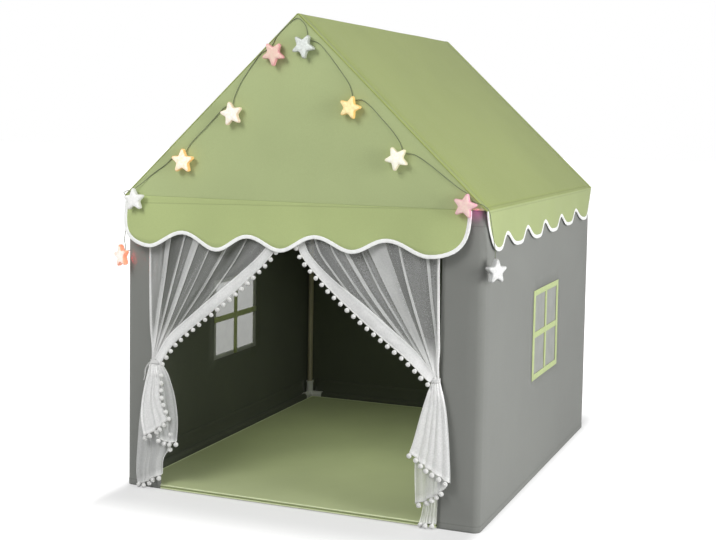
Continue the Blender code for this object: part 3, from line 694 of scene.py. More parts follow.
def build_window(side):
    sign = side_sign[side]

    def at(y, z, out):
        return side_point(sign, window_offset + y, window_height[side] + z, out)

    middle_y = window_half_y - tape_width * frame_side_share / 2
    middle_z = window_half_z - tape_width * frame_level_share / 2
    ring = []
    for sy, sz, ty, tz in ((-1, -1, 1, -1), (1, -1, 1, 1), (1, 1, -1, 1), (-1, 1, -1, -1)):
        ring += [(sy + (ty - sy) * k / 8, sz + (tz - sz) * k / 8) for k in range(8)]
    loops = []
    for u, v in ring:
        loop = []
        for across, out in flat_section(tape_width):
            y = u * (middle_y + across * frame_side_share)
            z = v * (middle_z + across * frame_level_share)
            loop.append(at(y, z, gap + out))
        loops.append(loop)
    border = add_piece(
        f"window_{side}_frame", loft(loops), window_tape, replaces=("window_" + side,),
    )
    # Inward faces of the frame take the white painted-light copy of the tape.
    resurface(border, window_tape_painted_light, lambda face: face.normal.x * sign < -0.5)

    outer = flat_section(crossbar_width)
    section = outer + [(a, -cloth - 2 * gap - b) for a, b in reversed(outer)]
    for way, reach, lift in (("upright", window_half_z, 0.00015), ("level", window_half_y, 0)):
        loops = []
        for place in steps(bar_short - reach, reach - bar_short, 10):
            loop = []
            for across, out in section:
                spot = (across, place) if way == "upright" else (place, across)
                loop.append(at(*spot, out + lift if out > 0 else out - lift))
            loops.append(loop)
        bar = add_piece(f"window_{side}_{way}", loft(loops, closed=False), window_tape)
        # Inward faces and edges of the crossbar take the darker painted-shade copy of the tape.
        resurface(bar, window_tape_painted_shade, lambda face: face.normal.x * sign < 0.3)

    count = 22

    def pane_point(i, j):
        y = hole_half_y * (2 * i / count - 1)
        z = hole_half_z * (2 * j / count - 1)
        free = ramp(min(window_half_y - abs(y), window_half_z - abs(z)), tape_width, tape_width + 0.03)
        return at(y, z, -0.0008 - free * 0.0006 * (1 - wobble(y * 22, z * 22, sign)))

    pane = add_piece(f"window_{side}_pane", net(count, count, pane_point), net_cloth[side])


# Roof: one cloth over the ridge, and a gable at each end

slope_length = roof_half / cos(pitch)
ridge_round = 0.008
roof_edge_round = 0.003
# Where the roof cloth is drawn in by its seams, from its ends and from its eaves
end_seam = (0.0238, 0.0248)
eave_seam = (0.007, 0.01)


def roof_profile():
    """Across the roof: a place, its outward direction, and the distance up from the nearer eave."""
    inset = cloth / 2
    flat_length = slope_length - ridge_round * tan(pitch)
    n = Vector((-sin(pitch), 0, cos(pitch)))
    up_slope = Vector((cos(pitch), 0, sin(pitch)))
    left = [
        (Vector((-roof_half, 0, eave_height)) + up_slope * t - n * inset, n, t)
        for t in with_cuts(0, flat_length, 0.04, (0.003, 0.0075, 0.009, 0.0105, 0.02, flat_length - 0.01))
    ]
    middle = []
    centre = ridge_height - ridge_round / cos(pitch)
    for k in range(1, 8):
        angle = radians(90) + pitch * (1 - k / 4)
        n = Vector((cos(angle), 0, sin(angle)))
        middle.append((Vector((0, 0, centre)) + n * (ridge_round - inset), n, slope_length))
    right = [(Vector((-p.x, 0, p.z)), Vector((-n.x, 0, n.z)), t) for p, n, t in reversed(left)]
    return left + middle + right


def build_roof():
    profile = roof_profile()
    ends = (0.646, 0.6452, 0.6438, 0.642, 0.6225, 0.6215, 0.6205)
    marks = with_cuts(-roof_front, roof_front, 0.05, mirrored(ends))

    def point(i, j):
        p, n, t = profile[i]
        y = marks[j]
        from_end = roof_front - abs(y)
        hang = sin(pi * min(t / slope_length, 1)) * (1 - abs(y / roof_front) ** 3)
        crease = 0.0009 * wobble(p.x * 5, y * 4, 2) + 0.0005 * wobble(p.x * 13, y * 3, 7)
        out = -0.005 * hang + crease * ramp(from_end, 0, 0.06) * ramp(t, 0, 0.05)
        if from_end > end_seam[1]:
            out -= 0.0005
        elif from_end > end_seam[0]:
            out -= 0.0009
        if eave_seam[0] < t < eave_seam[1]:
            out -= 0.0006
        if from_end < roof_edge_round:
            out -= roof_edge_round - sqrt(roof_edge_round ** 2 - (roof_edge_round - from_end) ** 2)
        return p + Vector((0, y, 0)) + n * out

    piece = add_piece(
        "roof", net(len(profile) - 1, len(marks) - 1, point), roof_cloth_painted_shade,
        replaces=("roof_panel",), thickness=cloth,
    )


def build_gable(end, sign):
    half = roof_half - cloth / sin(pitch) - 0.0006
    rise = ridge_height - cloth / cos(pitch) - 0.004 - eave_height
    across = with_cuts(-1, 1, 0.06, mirrored((0.997, 0.992, 0.98)))
    levels = with_cuts(0, 1, 0.04, (0.0012, 0.004, 0.012, 0.9988))

    def point(i, j):
        u, v = across[i], levels[j]
        z = eave_height + rise * v
        x = u * (half * (1 - v) + 0.0004)
        from_edge = min((1 - abs(u)) * half * (1 - v), z - eave_height)
        folds = 0.0014 * wobble(x * 4, z * 4, sign) + 0.0006 * wobble(x * 11, z * 7, 3)
        inward = ramp(from_edge, 0, 0.12) * (0.0018 + folds)
        return Vector((x, sign * (roof_front - cloth / 2 - inward), z))

    bm = net(len(across) - 1, len(levels) - 1, point)
    bmesh.ops.remove_doubles(bm, verts=bm.verts, dist=0.0002)
    piece = add_piece(
        f"gable_{end}_cloth", bm, gable_cloth, replaces=("gable_" + end,), thickness=cloth,
    )


# Valances round the eave, scalloped and bound in white

valance_drop = {"end": 0.135, "side": 0.113}
scallop_depth = {"end": 0.039, "side": 0.036}
notch_power = {"end": 1, "side": 1.7}
end_drop = {"end": 0.02, "side": 0.006}
end_roundness = {"end": 0.5, "side": 0.9}
valance_flare = {"end": 0.022, "side": 0.003}
front_left_roundness = 0.36
# Where the front valance's lobes end, hang lowest and meet, every half lobe from the left
front_lobes = (-0.5381, -0.444, -0.344, -0.231, -0.141, -0.034, 0.062, 0.174, 0.272, 0.391, 0.499)
front_extra = (0.006, 0.01, 0.008, 0.01, 0.009, 0.002, 0, -0.006, -0.001, -0.005, 0)
# How far forward each notch of a side valance is, and how far its edge is from level, every half lobe
side_shift = (0, -0.015, -0.015, -0.02, -0.025, -0.028, 0)
side_extra = (0,) * 6 + (-0.001, -0.003, -0.004, -0.007, -0.008, -0.008, 0)
binding_height = 0.011
binding_half = 0.0016
cloth_short = 0.003
binding_section = (
    (0, 0), (0.0007, 0.75), (0.0022, 1), (binding_height - 0.0012, 0.92), (binding_height, 0.55),
    (binding_height, -0.55), (binding_height - 0.0012, -0.92), (0.0022, -1), (0.0007, -0.75),
)


def between(values, place):
    """A smooth value between evenly spaced ones."""
    k = min(int(place), len(values) - 2)
    before, after = values[max(k - 1, 0)], values[min(k + 2, len(values) - 1)]
    return bend_through(before, values[k], values[k + 1], after, place - k)


def build_valance(end, start, along, outward, length, lobes, kind, slide=0):
    """One valance. The front one alone slides aside at its left end, over the side valance's end."""
    full = valance_drop[kind]

    def drop(place):
        """How far down the edge is at a place counted in lobes."""
        extra = 0
        if kind == "side":
            extra = between(side_extra, 2 * place)
        elif slide:
            extra = between(front_extra, 2 * place)
        from_end = min(place, lobes - place)
        if from_end < 0.5:
            roundness = front_left_roundness if slide and place < 0.5 else end_roundness[kind]
            part = max(0, 1 - (1 - 2 * from_end) ** 2) ** roundness
            return end_drop[kind] + (full - end_drop[kind]) * part + extra
        notch = ((1 + cos(tau * place)) / 2) ** notch_power[kind]
        return full - scallop_depth[kind] * notch + extra

    def along_at(place):
        if slide:
            return min(max(between(front_lobes, 2 * place) - front_lobes[0], 0), length)
        return length * place / lobes + (between(side_shift, place) if kind == "side" else 0)

    def surface(run, depth, out=0):
        """A place on the valance from its distance along and down."""
        part = max(0, depth) / full
        free = ramp(min(run, length - run), 0, 0.08)
        ripple = 0.0034 * part * cos(tau * (lobes * run / length - 0.5))
        ripple += 0.003 * part * wobble(run * 7, depth * 3, lobes + outward.x) * free
        tuck = 0.0005 * (1 - ramp(depth, 0, 0.002))
        stand = valance_flare[kind] * part ** 1.2 + ripple - tuck
        aside = slide * min(1, part * 1.6) * (1 - ramp(run, 0, 0.09))
        place = start + along * (run - aside) + outward * (stand + out)
        return place + Vector((0, 0, eave_height - gap - depth))

    # Close together where the ends curve down
    near = [0.5 * (k / 12) ** 2 for k in range(12)]
    places = near + steps(0.5, lobes - 0.5, 16 * (lobes - 1)) + [lobes - p for p in reversed(near)]
    depths = (0, 0.012, 0.03, 0.06, 0.12, 0.25, 0.4, 0.55, 0.7, 0.85, 1)

    def cloth_point(i, j):
        run = along_at(places[i])
        inset = 0.0012 * (1 - ramp(min(run, length - run), 0, 0.002))
        return surface(min(max(run, inset), length - inset), (drop(places[i]) - cloth_short) * depths[j])

    piece = add_piece(
        f"valance_{end}_cloth", net(len(places) - 1, len(depths) - 1, cloth_point),
        front_valance_cloth if slide else valance_cloth,
        replaces=("valance_" + end,), thickness=cloth,
    )
    edge = [Vector((0, d)) for d in steps(0.0015, end_drop[kind], 3)[:-1]]
    edge += [Vector((along_at(p), drop(p))) for p in places]
    edge += [Vector((length, d)) for d in steps(end_drop[kind], 0.0015, 3)[1:]]
    loops = []
    for before, here, after in zip(edge[:1] + edge, edge, edge[1:] + edge[-1:]):
        tangent = (after - before).normalized()
        inward = Vector((tangent.y, -tangent.x))
        loop = []
        for across, share in binding_section:
            at = here + inward * across
            loop.append(surface(min(max(at.x, 0), length), max(0.0006, at.y), binding_half * share))
        loops.append(loop)
    binding = add_piece(f"valance_{end}_binding", loft(loops, closed=False), binding_tape)
    area = sum((along_at(b) - along_at(a)) * (drop(a) + drop(b)) / 2 for a, b in zip(places, places[1:]))
    max(drop(p) for p in places)


def build_valances():
    reach = roof_half - cloth / 2 - binding_half - gap
    middle = cloth / 2
    for end, sign, slide in (("front", -1, 0.002), ("back", 1, 0)):
        start = Vector((-reach, sign * (roof_front - middle), 0))
        length = front_lobes[-1] - front_lobes[0] if slide else 2 * reach
        build_valance(end, start, Vector((1, 0, 0)), Vector((0, sign, 0)), length, 5, "end", slide)
    for side, sign in side_sign.items():
        start = Vector((sign * (roof_half - middle), -roof_front, 0))
        build_valance(side, start, Vector((0, 1, 0)), Vector((sign, 0, 0)), 2 * roof_front, 6, "side")


# Curtains: sheer cloth gathered to a tie on each side, with a tail below it

curtain_outer = {"left": 0.449, "right": 0.425}
curtain_outer_top = {"left": 0.46, "right": 0.413}
neck_width = {"left": 0.036, "right": 0.025}
tie_height = {"left": 0.374, "right": 0.398}
# The edge of each curtain that faces the opening, from its top to its tie, in millimetres
leading_edge = {
    "left": (
        (6, 832), (28, 768), (62, 709), (94, 671), (127, 639), (177, 593),
        (228, 550), (279, 508), (331, 466), (366, 435), (397, 399), (413, 374.5),
    ),
    "right": (
        (4, 832), (3, 765), (15, 721), (34, 692), (85, 641), (121, 608),
        (163, 574), (205, 541), (249, 509), (293, 478), (337, 447), (400, 398.5),
    ),
}
hem_width = {"left": (0.026, 0.031, 0.028), "right": (0.022, 0.038, 0.033)}
fan_belly = 0.006
top_wave = 0.001
neck_wave = 0.006
waist_share = 0.84
# Each pleat: its place and width across the fan, at the top and at the neck, and how white it is
fan_pleats = {
    "left": (
        (0.18, 0.17, 0.036, 0.1, 0.9), (0.31, 0.29, 0.012, 0.06, 0.7), (0.4, 0.42, 0.052, 0.09, 0.9),
        (0.53, 0.55, 0.008, 0.06, 0.3), (0.65, 0.68, 0.022, 0.06, 0.4), (0.755, 0.84, 0.01, 0.05, 0.6),
    ),
    "right": (
        (0.12, 0.08, 0.018, 0.06, 0.6), (0.31, 0.36, 0.01, 0.07, 0.9), (0.475, 0.49, 0.135, 0.13, 0.5),
        (0.6, 0.62, 0.006, 0.05, 0.25), (0.71, 0.73, 0.024, 0.06, 0.9), (0.79, 0.82, 0.01, 0.05, 0.4),
        (0.88, 0.9, 0.01, 0.04, 0.6),
    ),
}
# Each layer of a tail: its two edges from the neck down, in millimetres, and how far it stands out,
# how many pleats it has and how white it is
tail_layers = {
    "left": (
        (((-446, 374), (-456, 348), (-467, 299), (-474, 251), (-474, 205), (-464, 157)),
         ((-419, 374), (-419, 336), (-418, 288), (-409, 251), (-389, 212)), 0.013, 4, 0.7),
        (((-438, 374), (-436, 300), (-430, 220), (-426, 156)),
         ((-416, 374), (-392, 343), (-371, 292), (-360, 242), (-356, 198), (-359, 149)),
         0.006, 3, 0.05),
        (((-445, 374), (-470, 290), (-486, 209), (-494, 117), (-498, 46), (-492, 4)),
         ((-420, 374), (-405, 280), (-391, 180), (-390, 125), (-406, 90), (-408, 50)),
         0, 3, 0.1),
    ),
    "right": (
        (((402, 398), (389, 356), (379, 321), (369, 282), (358, 237), (348, 204)),
         ((424, 398), (443, 333), (453, 262), (460, 177), (462, 132)), 0.013, 5, 0.66),
        (((405, 398), (386, 300), (367, 205), (360, 168), (363, 64)),
         ((421, 398), (438, 300), (452, 200), (450, 120)), 0.006, 3, 0.1),
        (((408, 398), (400, 250), (390, 120), (383, 50), (374, 10)),
         ((422, 398), (425, 250), (424, 81), (422, 16)), 0, 5, 0.12),
    ),
}
top_stand = gap + cloth / 2 + top_wave
neck_half = neck_wave + cloth / 2
band_room = 0.0015
neck_stand = gap + band_room + gap + neck_half
tail_blend_length = 0.03
tie_band_height = 0.0104
edge_places = {side: even_line(line, 120) for side, line in leading_edge.items()}


def fan_place(side, across, along):
    """The middle of the gathered cloth: across from its outer edge, along from its top."""
    places = edge_places[side]
    due = min(max(along, 0), 1) * (len(places) - 1)
    k = min(int(due), len(places) - 2)
    edge = places[k].lerp(places[k + 1], due - k)
    first, last = places[0], places[-1]
    top, outer = curtain_outer_top[side], curtain_outer[side]
    drawn_in = across ** 2
    x = (top - (top - first.x) * across) * (1 - along) + (outer - (outer - last.x) * across) * along
    x += (edge.x - first.x * (1 - along) - last.x * along) * drawn_in
    z = first.z + (last.z - first.z) * along
    z += (edge.z - first.z * (1 - along) - last.z * along) * drawn_in
    stand = top_stand + (neck_stand - top_stand) * along + fan_belly * sin(pi * along)
    return Vector((side_sign[side] * x, -half_depth - stand, z))


def neck_place(side, back):
    """The middle of the gathered neck in plan, or a place some way in front of it."""
    x = side_sign[side] * (curtain_outer[side] - neck_width[side] / 2)
    return x, -half_depth - neck_stand - back


def tail_blend(side, back):
    """The tent, the tail's body, and places at the tie and a little below it, on the tail's middle;
    add_piece takes it only as a sign to leave the piece unattached.
    """
    x, y = neck_place(side, back)
    tie = tie_height[side]
    return "tent", side + "_tail", (x, y, tie), (x, y, tie - tail_blend_length)


def pompom(bm, centre, radius, seed):
    """A ball of cut yarn, uneven all over."""
    made = bmesh.ops.create_icosphere(bm, subdivisions=2, radius=radius)
    for vert in made["verts"]:
        x, y, z = (c / radius * 2.3 for c in vert.co)
        vert.co = centre + vert.co * (1 + 0.13 * wobble(x + seed, y, z))


def thread(bm, start, end, radius=0.0007):
    """A short round thread between two places."""
    run = end - start
    side = run.cross(Vector((0, 1, 0.2))).normalized()
    other = run.cross(side).normalized()
    join_rings(bm, [
        [bm.verts.new(p) for p in circle(place, side * radius, other * radius, 6)]
        for place in (start, (start + end) / 2, end)
    ])


def walk(line, step, start=0):
    """Places every step along a line of points, each with its direction."""
    due = start
    gone = 0
    for a, b in zip(line, line[1:]):
        span = (b - a).length
        while span > 0 and due <= gone + span:
            yield a.lerp(b, (due - gone) / span), (b - a).normalized()
            due += step
        gone += span


def trim_piece(name, runs, body, seed, radius=0.0066, step=0.0245):
    """A thin braid with pompoms along each run: its line, the side they hang on, the first place."""
    bm = bmesh.new()
    for turn, (line, side_of, start) in enumerate(runs):
        for k, (place, run) in enumerate(walk(line, step, start)):
            off = Vector((-run.z, 0, run.x)) * side_of
            hang = (off + Vector((0, -0.15, -0.8))).normalized()
            size = radius * (1 + 0.1 * wobble(k * 1.7, seed, turn))
            centre = place + hang * (size + 0.0018) + Vector((0, -0.001, 0))
            if centre.z < size + 0.0006:
                centre.z = size + 0.0006
                centre.y -= 0.005
            thread(bm, place, centre)
            pompom(bm, centre, size, seed + 3.1 * k + turn)
        braid = []
        for k, (place, run) in enumerate(walk(line, 0.004)):
            off = Vector((-run.z, 0, run.x)) * side_of
            wide = 0.0021 + 0.0004 * sin(k * 2.4)
            above_floor = Vector((0, 0, max(0, 0.003 - place.z)))
            braid.append(circle(place + above_floor, off * wide, Vector((0, -0.00108, 0)), 8))
        loft(braid, closed=False, bm=bm)
    return add_piece(name, bm, yarn, body=body)


def fan_columns(side, v):
    """Across the fan at one height: place, depth forward and whiteness, with each pleat laid flat."""
    width = (fan_place(side, 0, v) - fan_place(side, 1, v)).length
    gather = ramp(v, 0.72, 0.97)
    thick = 0.0008 + 0.0012 * ramp(v, 0.12, 0.4)
    bend = 0.0013 / width
    edge = 0.016 + 0.08 * v ** 3

    def flat(first, last, count):
        return [tuple(a + (b - a) * t for a, b in zip(first, last)) for t in steps(0, 1, count)]

    columns = [
        (edge, -thick, 0.55), (edge * 0.5, -thick, 0.6), (0, 0, 1), (edge * 0.5, thick, 0.7),
        (edge, thick, 0.8),
    ]
    last = (edge + bend, thick, 0.1)
    for k, (high, low, wide, narrow, white) in enumerate(fan_pleats[side]):
        place = high + (low - high) * v + 0.008 * wobble(v * 3, k * 2.3, 4)
        half = (wide + (narrow - wide) * v ** 2) / 2
        turn = min(bend, half * 0.6)
        start, end = place - half, place + half
        inner = 0.25 * white
        first = (start - bend, thick, 0.05)
        columns += flat(last, first, 5)[:-1] + [
            first, (start, thick, inner), (place, thick, inner), (end - turn, thick, 0.3 + inner),
            (end, thick * 0.5, white), (end - turn, 0, inner), (start + turn, 0, inner),
            (start, -thick * 0.5, white), (start + turn, -thick, inner), (end, -thick, 0.05),
        ]
        last = (end + bend, -thick, 0.05)
    columns += flat(last, (1, 0, 0.2), 6)
    return [(u, depth, white + (1 - white) * gather) for u, depth, white in columns]


def build_fan(side):
    """The gathered cloth above the tie."""
    sign = side_sign[side]
    rows = 60
    table = [fan_columns(side, j / rows) for j in range(rows + 1)]

    def point(i, j):
        v = j / rows
        u, deep, _ = table[j][i]
        base = fan_place(side, u, v)
        middle = fan_place(side, 0.5, v)
        base.x = middle.x + (base.x - middle.x) * (1 - (1 - waist_share) * ramp(v, 0.8, 1))
        slack = 0.0022 * wobble(u * 7, v * 2.2, sign * 3) * ramp(v, 0.12, 0.35)
        bunch = 0.0055 * dome(u) * ramp(v, 0.75, 1)
        return base + Vector((0, -deep - slack - bunch, 0))

    def fold_value(i, j):
        v = j / rows
        u, _, white = table[j][i]
        streak = 0.1 * wobble(u * 60, v * 1.5, sign * 9)
        # Painted shade and light: the shade term makes broad dark streaks, where the voile grows thin and
        # the dark inside shows, and makes the right fan whiter than the left.
        shade = 0.16 * wobble(u * 17 + 4 * v, v * 1.2, sign * 5) - 0.01 + 0.04 * sign
        return min(1, max(-0.28, white + streak + shade * (1 - ramp(v, 0.7, 1))))

    return add_piece(
        f"curtain_{side}_drape", net(len(table[0]) - 1, rows, point, fold=fold_value), fan_voile,
        replaces=(f"curtain_{side}_fan",),
    )


def build_edge(side):
    """The turned hem of the fan's free edge, and its trim."""
    sign = side_sign[side]
    rows = 64
    across = (0, 0.03, 0.09, 0.3, 0.55, 0.76, 0.82, 0.88, 0.96, 1)
    folds = (1, 0.9, 0.35, 0.5, 0.55, 0.45, 0.12, 0.35, 0.5, 0.9)
    top, middle, low = hem_width[side]

    def point(i, j):
        v = j / rows
        near = fan_place(side, 1, min(1, v + 0.01)) - fan_place(side, 1, max(0, v - 0.01))
        near.y = 0
        near.normalize()
        inward = Vector((-near.z, 0, near.x)) * sign
        wide = top + (middle - top) * ramp(v, 0.25, 0.6) + (low - middle) * ramp(v, 0.6, 0.9)
        wide *= 1 - 0.3 * ramp(v, 0.85, 1)
        lift = 0.0034 + 0.003 * ramp(v, 0.05, 0.4) + 0.004 * ramp(v, 0.7, 1)
        curl = 0.0016 * sin(9 * v + 4 * across[i]) * ramp(v, 0.05, 0.4)
        fall = 0.006 * ramp(v, 0.86, 1) * (1 - across[i])
        return fan_place(side, 1, v) + inward * (wide * across[i]) + Vector((0, -lift - curl, -fall))

    def fold_value(i, j):
        cloud = 0.25 * wobble(j * 0.35, across[i] * 4, sign)
        return min(1, max(0, folds[i] + cloud + 0.5 * ramp(j / rows, 0.8, 1)))

    bm = net(len(across) - 1, rows, point, fold=fold_value)
    hem = add_piece(f"curtain_{side}_edge_hem", bm, hem_voile)
    line = [point(0, j) for j in range(rows + 1)]
    return hem, trim_piece(f"curtain_{side}_edge_trim", [(line, -sign, 0.055)], "tent", 11 + sign)


def build_tail(side):
    """Three loose layers of the gathered cloth below its tie, with pompoms along their hems."""
    sign = side_sign[side]
    rows = 36
    sheet = bmesh.new()
    hems, far_edges = [], []
    for number, (left, right, stand, pleats, white) in enumerate(tail_layers[side]):
        one, other = even_line(left, rows), even_line(right, rows)
        columns = 12 * pleats

        def phase(u, v):
            return tau * (pleats * u + 0.9 * wobble(u * 3, v * 0.8, number * 5 + sign))

        def point(i, j):
            u, v = i / columns, j / rows
            place = one[j].lerp(other[j], u)
            width = (other[j] - one[j]).length
            ends = ramp(u, 0, 0.05) * ramp(1 - u, 0, 0.05)
            depth = (0.0012 + 0.0016 * v) * (0.75 + 0.5 * wobble(u * 6, v * 2, number))
            bunch = 0.005 * dome(u) * (1 - ramp(v, 0, 0.35))
            x = place.x - 0.75 * width / pleats / tau * ends * cos(phase(u, v))
            y = -half_depth - neck_stand - stand * v ** 0.6 - depth * sin(phase(u, v)) - bunch
            bow = 0.006 * sin(pi * u) * ramp(v, 0.85, 1) * (1 if number < 2 else 0)
            return Vector((x, y, max(0.0025, place.z - bow + 0.003 * ends * v * wobble(u * 9, v, 5))))

        def fold_value(i, j):
            u, v = i / columns, j / rows
            crest = max(0, sin(phase(u, v))) ** 4
            border = max(1 - ramp(u, 0, 0.02), ramp(u, 0.98, 1))
            strong = 0.5 + 0.8 * wobble(pleats * u * 0.9, 0.3, number * 3)
            share = white + 0.22 * crest * strong + 0.7 * border + 0.5 * ramp(v, 0.965, 0.98)
            share += 0.6 * (1 - ramp(v, 0, 0.3)) + 0.16 * wobble(u * 16, v * 1.2, number)
            return min(1, max(0, share))

        net(columns, rows, point, fold=fold_value, bm=sheet)
        hems.append([point(i, rows) for i in range(0, columns + 1, 2)])
        far_edges.append([point(columns, j) for j in range(rows + 1)])
    tail = add_piece(
        f"curtain_{side}_tail_cloth", sheet, tail_voile,
        replaces=(f"curtain_{side}_tail",), blend=tail_blend(side, neck_half),
    )
    runs = [(hem, -1, start) for hem, start in zip(hems, (0.004, 0.012, 0.006))]
    if side == "left":
        runs += [(far_edges[0][7:], 1, 0.002), (far_edges[2][22:30], 1, 0.004)]
    trim = trim_piece(
        f"curtain_{side}_tail_trim", runs, side + "_tail", 31 + sign, radius=0.0072, step=0.0215,
    )
    return tail, trim


def build_tie(side):
    """A thin ribbon wound round the neck, and on the left its two loose ends."""
    sign = side_sign[side]
    x, y = neck_place(side, 0.002)
    half_x = neck_width[side] / 2 * waist_share + 0.0008
    half_y = neck_half - 0.0005
    low = tie_height[side] - tie_band_height / 2
    columns, rows = 44, 10

    def band_point(i, j):
        angle = tau * i / columns
        ca, sa = cos(angle), sin(angle)
        round_off = 0.0012 * abs(sin(3 * pi * j / rows)) - 0.0003 * sin(7 * angle + 2 * j)
        px, py = (
            (half + round_off) * copysign(abs(part) ** 0.75, part)
            for half, part in ((half_x, ca), (half_y, sa))
        )
        slant = 0.0012 * sin(angle + 0.6)
        return Vector((x + px, min(y + py, -half_depth - 0.0006), low + slant + tie_band_height * j / rows))

    band = add_piece(
        f"tie_{side}_band", net(columns, rows, band_point, wrap=True), ribbon_satin,
        replaces=("tie_" + side,), thickness=0.0008,
    )
    for k, (lean, reach) in enumerate(((0.42, 0.056), (0.2, 0.04)) if side == "left" else ()):
        count = 18
        start_x = x + sign * (half_x - 0.001 - 0.004 * k)
        start_y = y - half_y * 0.6 - 0.001 * k

        def end_point(i, j):
            t = j / count
            out = lean * reach * t ** 0.7 + 0.002 * sin(5 * t + k)
            twist = 0.9 + 0.8 * t
            wide = (i - 1.5) / 3 * (0.0062 - 0.0034 * t)
            bow = 0.004 * sin(pi * min(1, 1.4 * t)) + 0.004 * t
            return Vector((
                start_x + sign * out + wide * cos(twist), start_y - bow + wide * sin(twist),
                low + 0.004 - reach * t,
            ))

        add_piece(
            f"tie_{side}_end_{k + 1}", net(3, count, end_point), ribbon_satin,
            thickness=0.0006, blend=tail_blend(side, 0.002),
        )


def build_curtains():
    for side in side_sign:
        fan = build_fan(side)
        hem, trim = build_edge(side)
        tail, tail_trim = build_tail(side)
        build_tie(side)


# Floor mat: padded, with a welt round its top and bottom edges

mat_half = 0.4977
mat_back = 0.6027
mat_front = 0.6377
mat_lip = 0.645
tongue_half = 0.418
mat_thickness = 0.015
mat_edge_round = 0.0055
welt_radius = 0.0021
welt_inset = 0.0008
welt_height = {"upper": 0.0118, "lower": 0.0036}


def mat_gap(x, y):
    """The distance in from the mat's edge."""
    wide = min(mat_half - abs(x), y + mat_front, mat_back - y)
    tongue = min(tongue_half - abs(x), y + mat_lip, mat_back - y)
    return max(wide, tongue)


def mat_level(x, y, top):
    """The height of the mat's upper or lower face."""
    d = max(0, mat_gap(x, y))
    round_off = mat_edge_round - sqrt(mat_edge_round ** 2 - max(0, mat_edge_round - d) ** 2)
    if not top:
        return min(round_off, 0.004) if d < mat_edge_round else 0
    puff = 0.0009 * wobble(x * 6, y * 6, 1) + 0.0006 * wobble(x * 15, y * 12, 6)
    sunk = 0.001 + round_off + 0.001 * (1 - ramp(d, 0, 0.05))
    return mat_thickness - sunk + puff * ramp(d, 0.005, 0.06)


def build_mat():
    fine = (0, 0.0006, 0.002, 0.004, 0.0065, 0.012, 0.03)
    side_cuts = mirrored([e - f for e in (mat_half, tongue_half) for f in fine])
    end_cuts = [f - e for e in (mat_lip, mat_front) for f in fine] + [mat_back - f for f in fine]
    xs = with_cuts(-mat_half, mat_half, 0.03, side_cuts)
    ys = with_cuts(-mat_lip, mat_back, 0.03, end_cuts)
    cells = dict.fromkeys(
        (i, j) for i in range(len(xs) - 1) for j in range(len(ys) - 1)
        if mat_gap((xs[i] + xs[i + 1]) / 2, (ys[j] + ys[j + 1]) / 2) > 0
    )
    bm = bmesh.new()
    vert = {
        (top, i, j): bm.verts.new((x, y, mat_level(x, y, top)))
        for top in (True, False) for i, x in enumerate(xs) for j, y in enumerate(ys)
        if any((i - a, j - b) in cells for a in (0, 1) for b in (0, 1))
    }
    corners = ((0, 0), (1, 0), (1, 1), (0, 1))
    neighbours = ((0, -1), (1, 0), (0, 1), (-1, 0))
    for i, j in cells:
        for top in (True, False):
            bm.faces.new([vert[top, i + a, j + b] for a, b in corners])
    for i, j in cells:
        for (a, b), (c, d), (e, f) in zip(corners, corners[1:] + corners[:1], neighbours):
            if (i + e, j + f) not in cells:
                places = ((True, a, b), (True, c, d), (False, c, d), (False, a, b))
                bm.faces.new([vert[top, i + m, j + n] for top, m, n in places])
    mat = add_piece("mat_cushion", bm, mat_cloth, body="mat", replaces=("floor_mat",))
    # Upright faces take the darker painted-shade copy.
    resurface(mat, mat_side_painted_shade, lambda face: abs(face.normal.z) < 0.3)
    left = [
        (-mat_half, mat_back), (-mat_half, -mat_front), (-tongue_half, -mat_front), (-tongue_half, -mat_lip),
    ]
    outline = left + [(-x, y) for x, y in reversed(left)]
    route = []
    for (x0, y0), (x1, y1) in zip(outline, outline[1:] + outline[:1]):
        parts = max(1, int(hypot(x1 - x0, y1 - y0) / 0.03))
        route += [(x0 + (x1 - x0) * k / parts, y0 + (y1 - y0) * k / parts) for k in range(parts)]
    for label, z in welt_height.items():
        loops = []
        for (ax, ay), (x, y), (bx, by) in zip(route[-1:] + route, route, route[1:] + route[:1]):
            out = Vector((by - ay, ax - bx, 0)).normalized()
            middle = Vector((x, y, z)) - out * welt_inset
            loops.append(circle(middle, out * welt_radius, Vector((0, 0, welt_radius)), 8))
        add_piece("mat_welt_" + label, loft(loops), welt_cloth, body="mat")


# Star lights on their wire

star_tip = 0.035
star_valley = 0.0175
tip_round = 0.0045
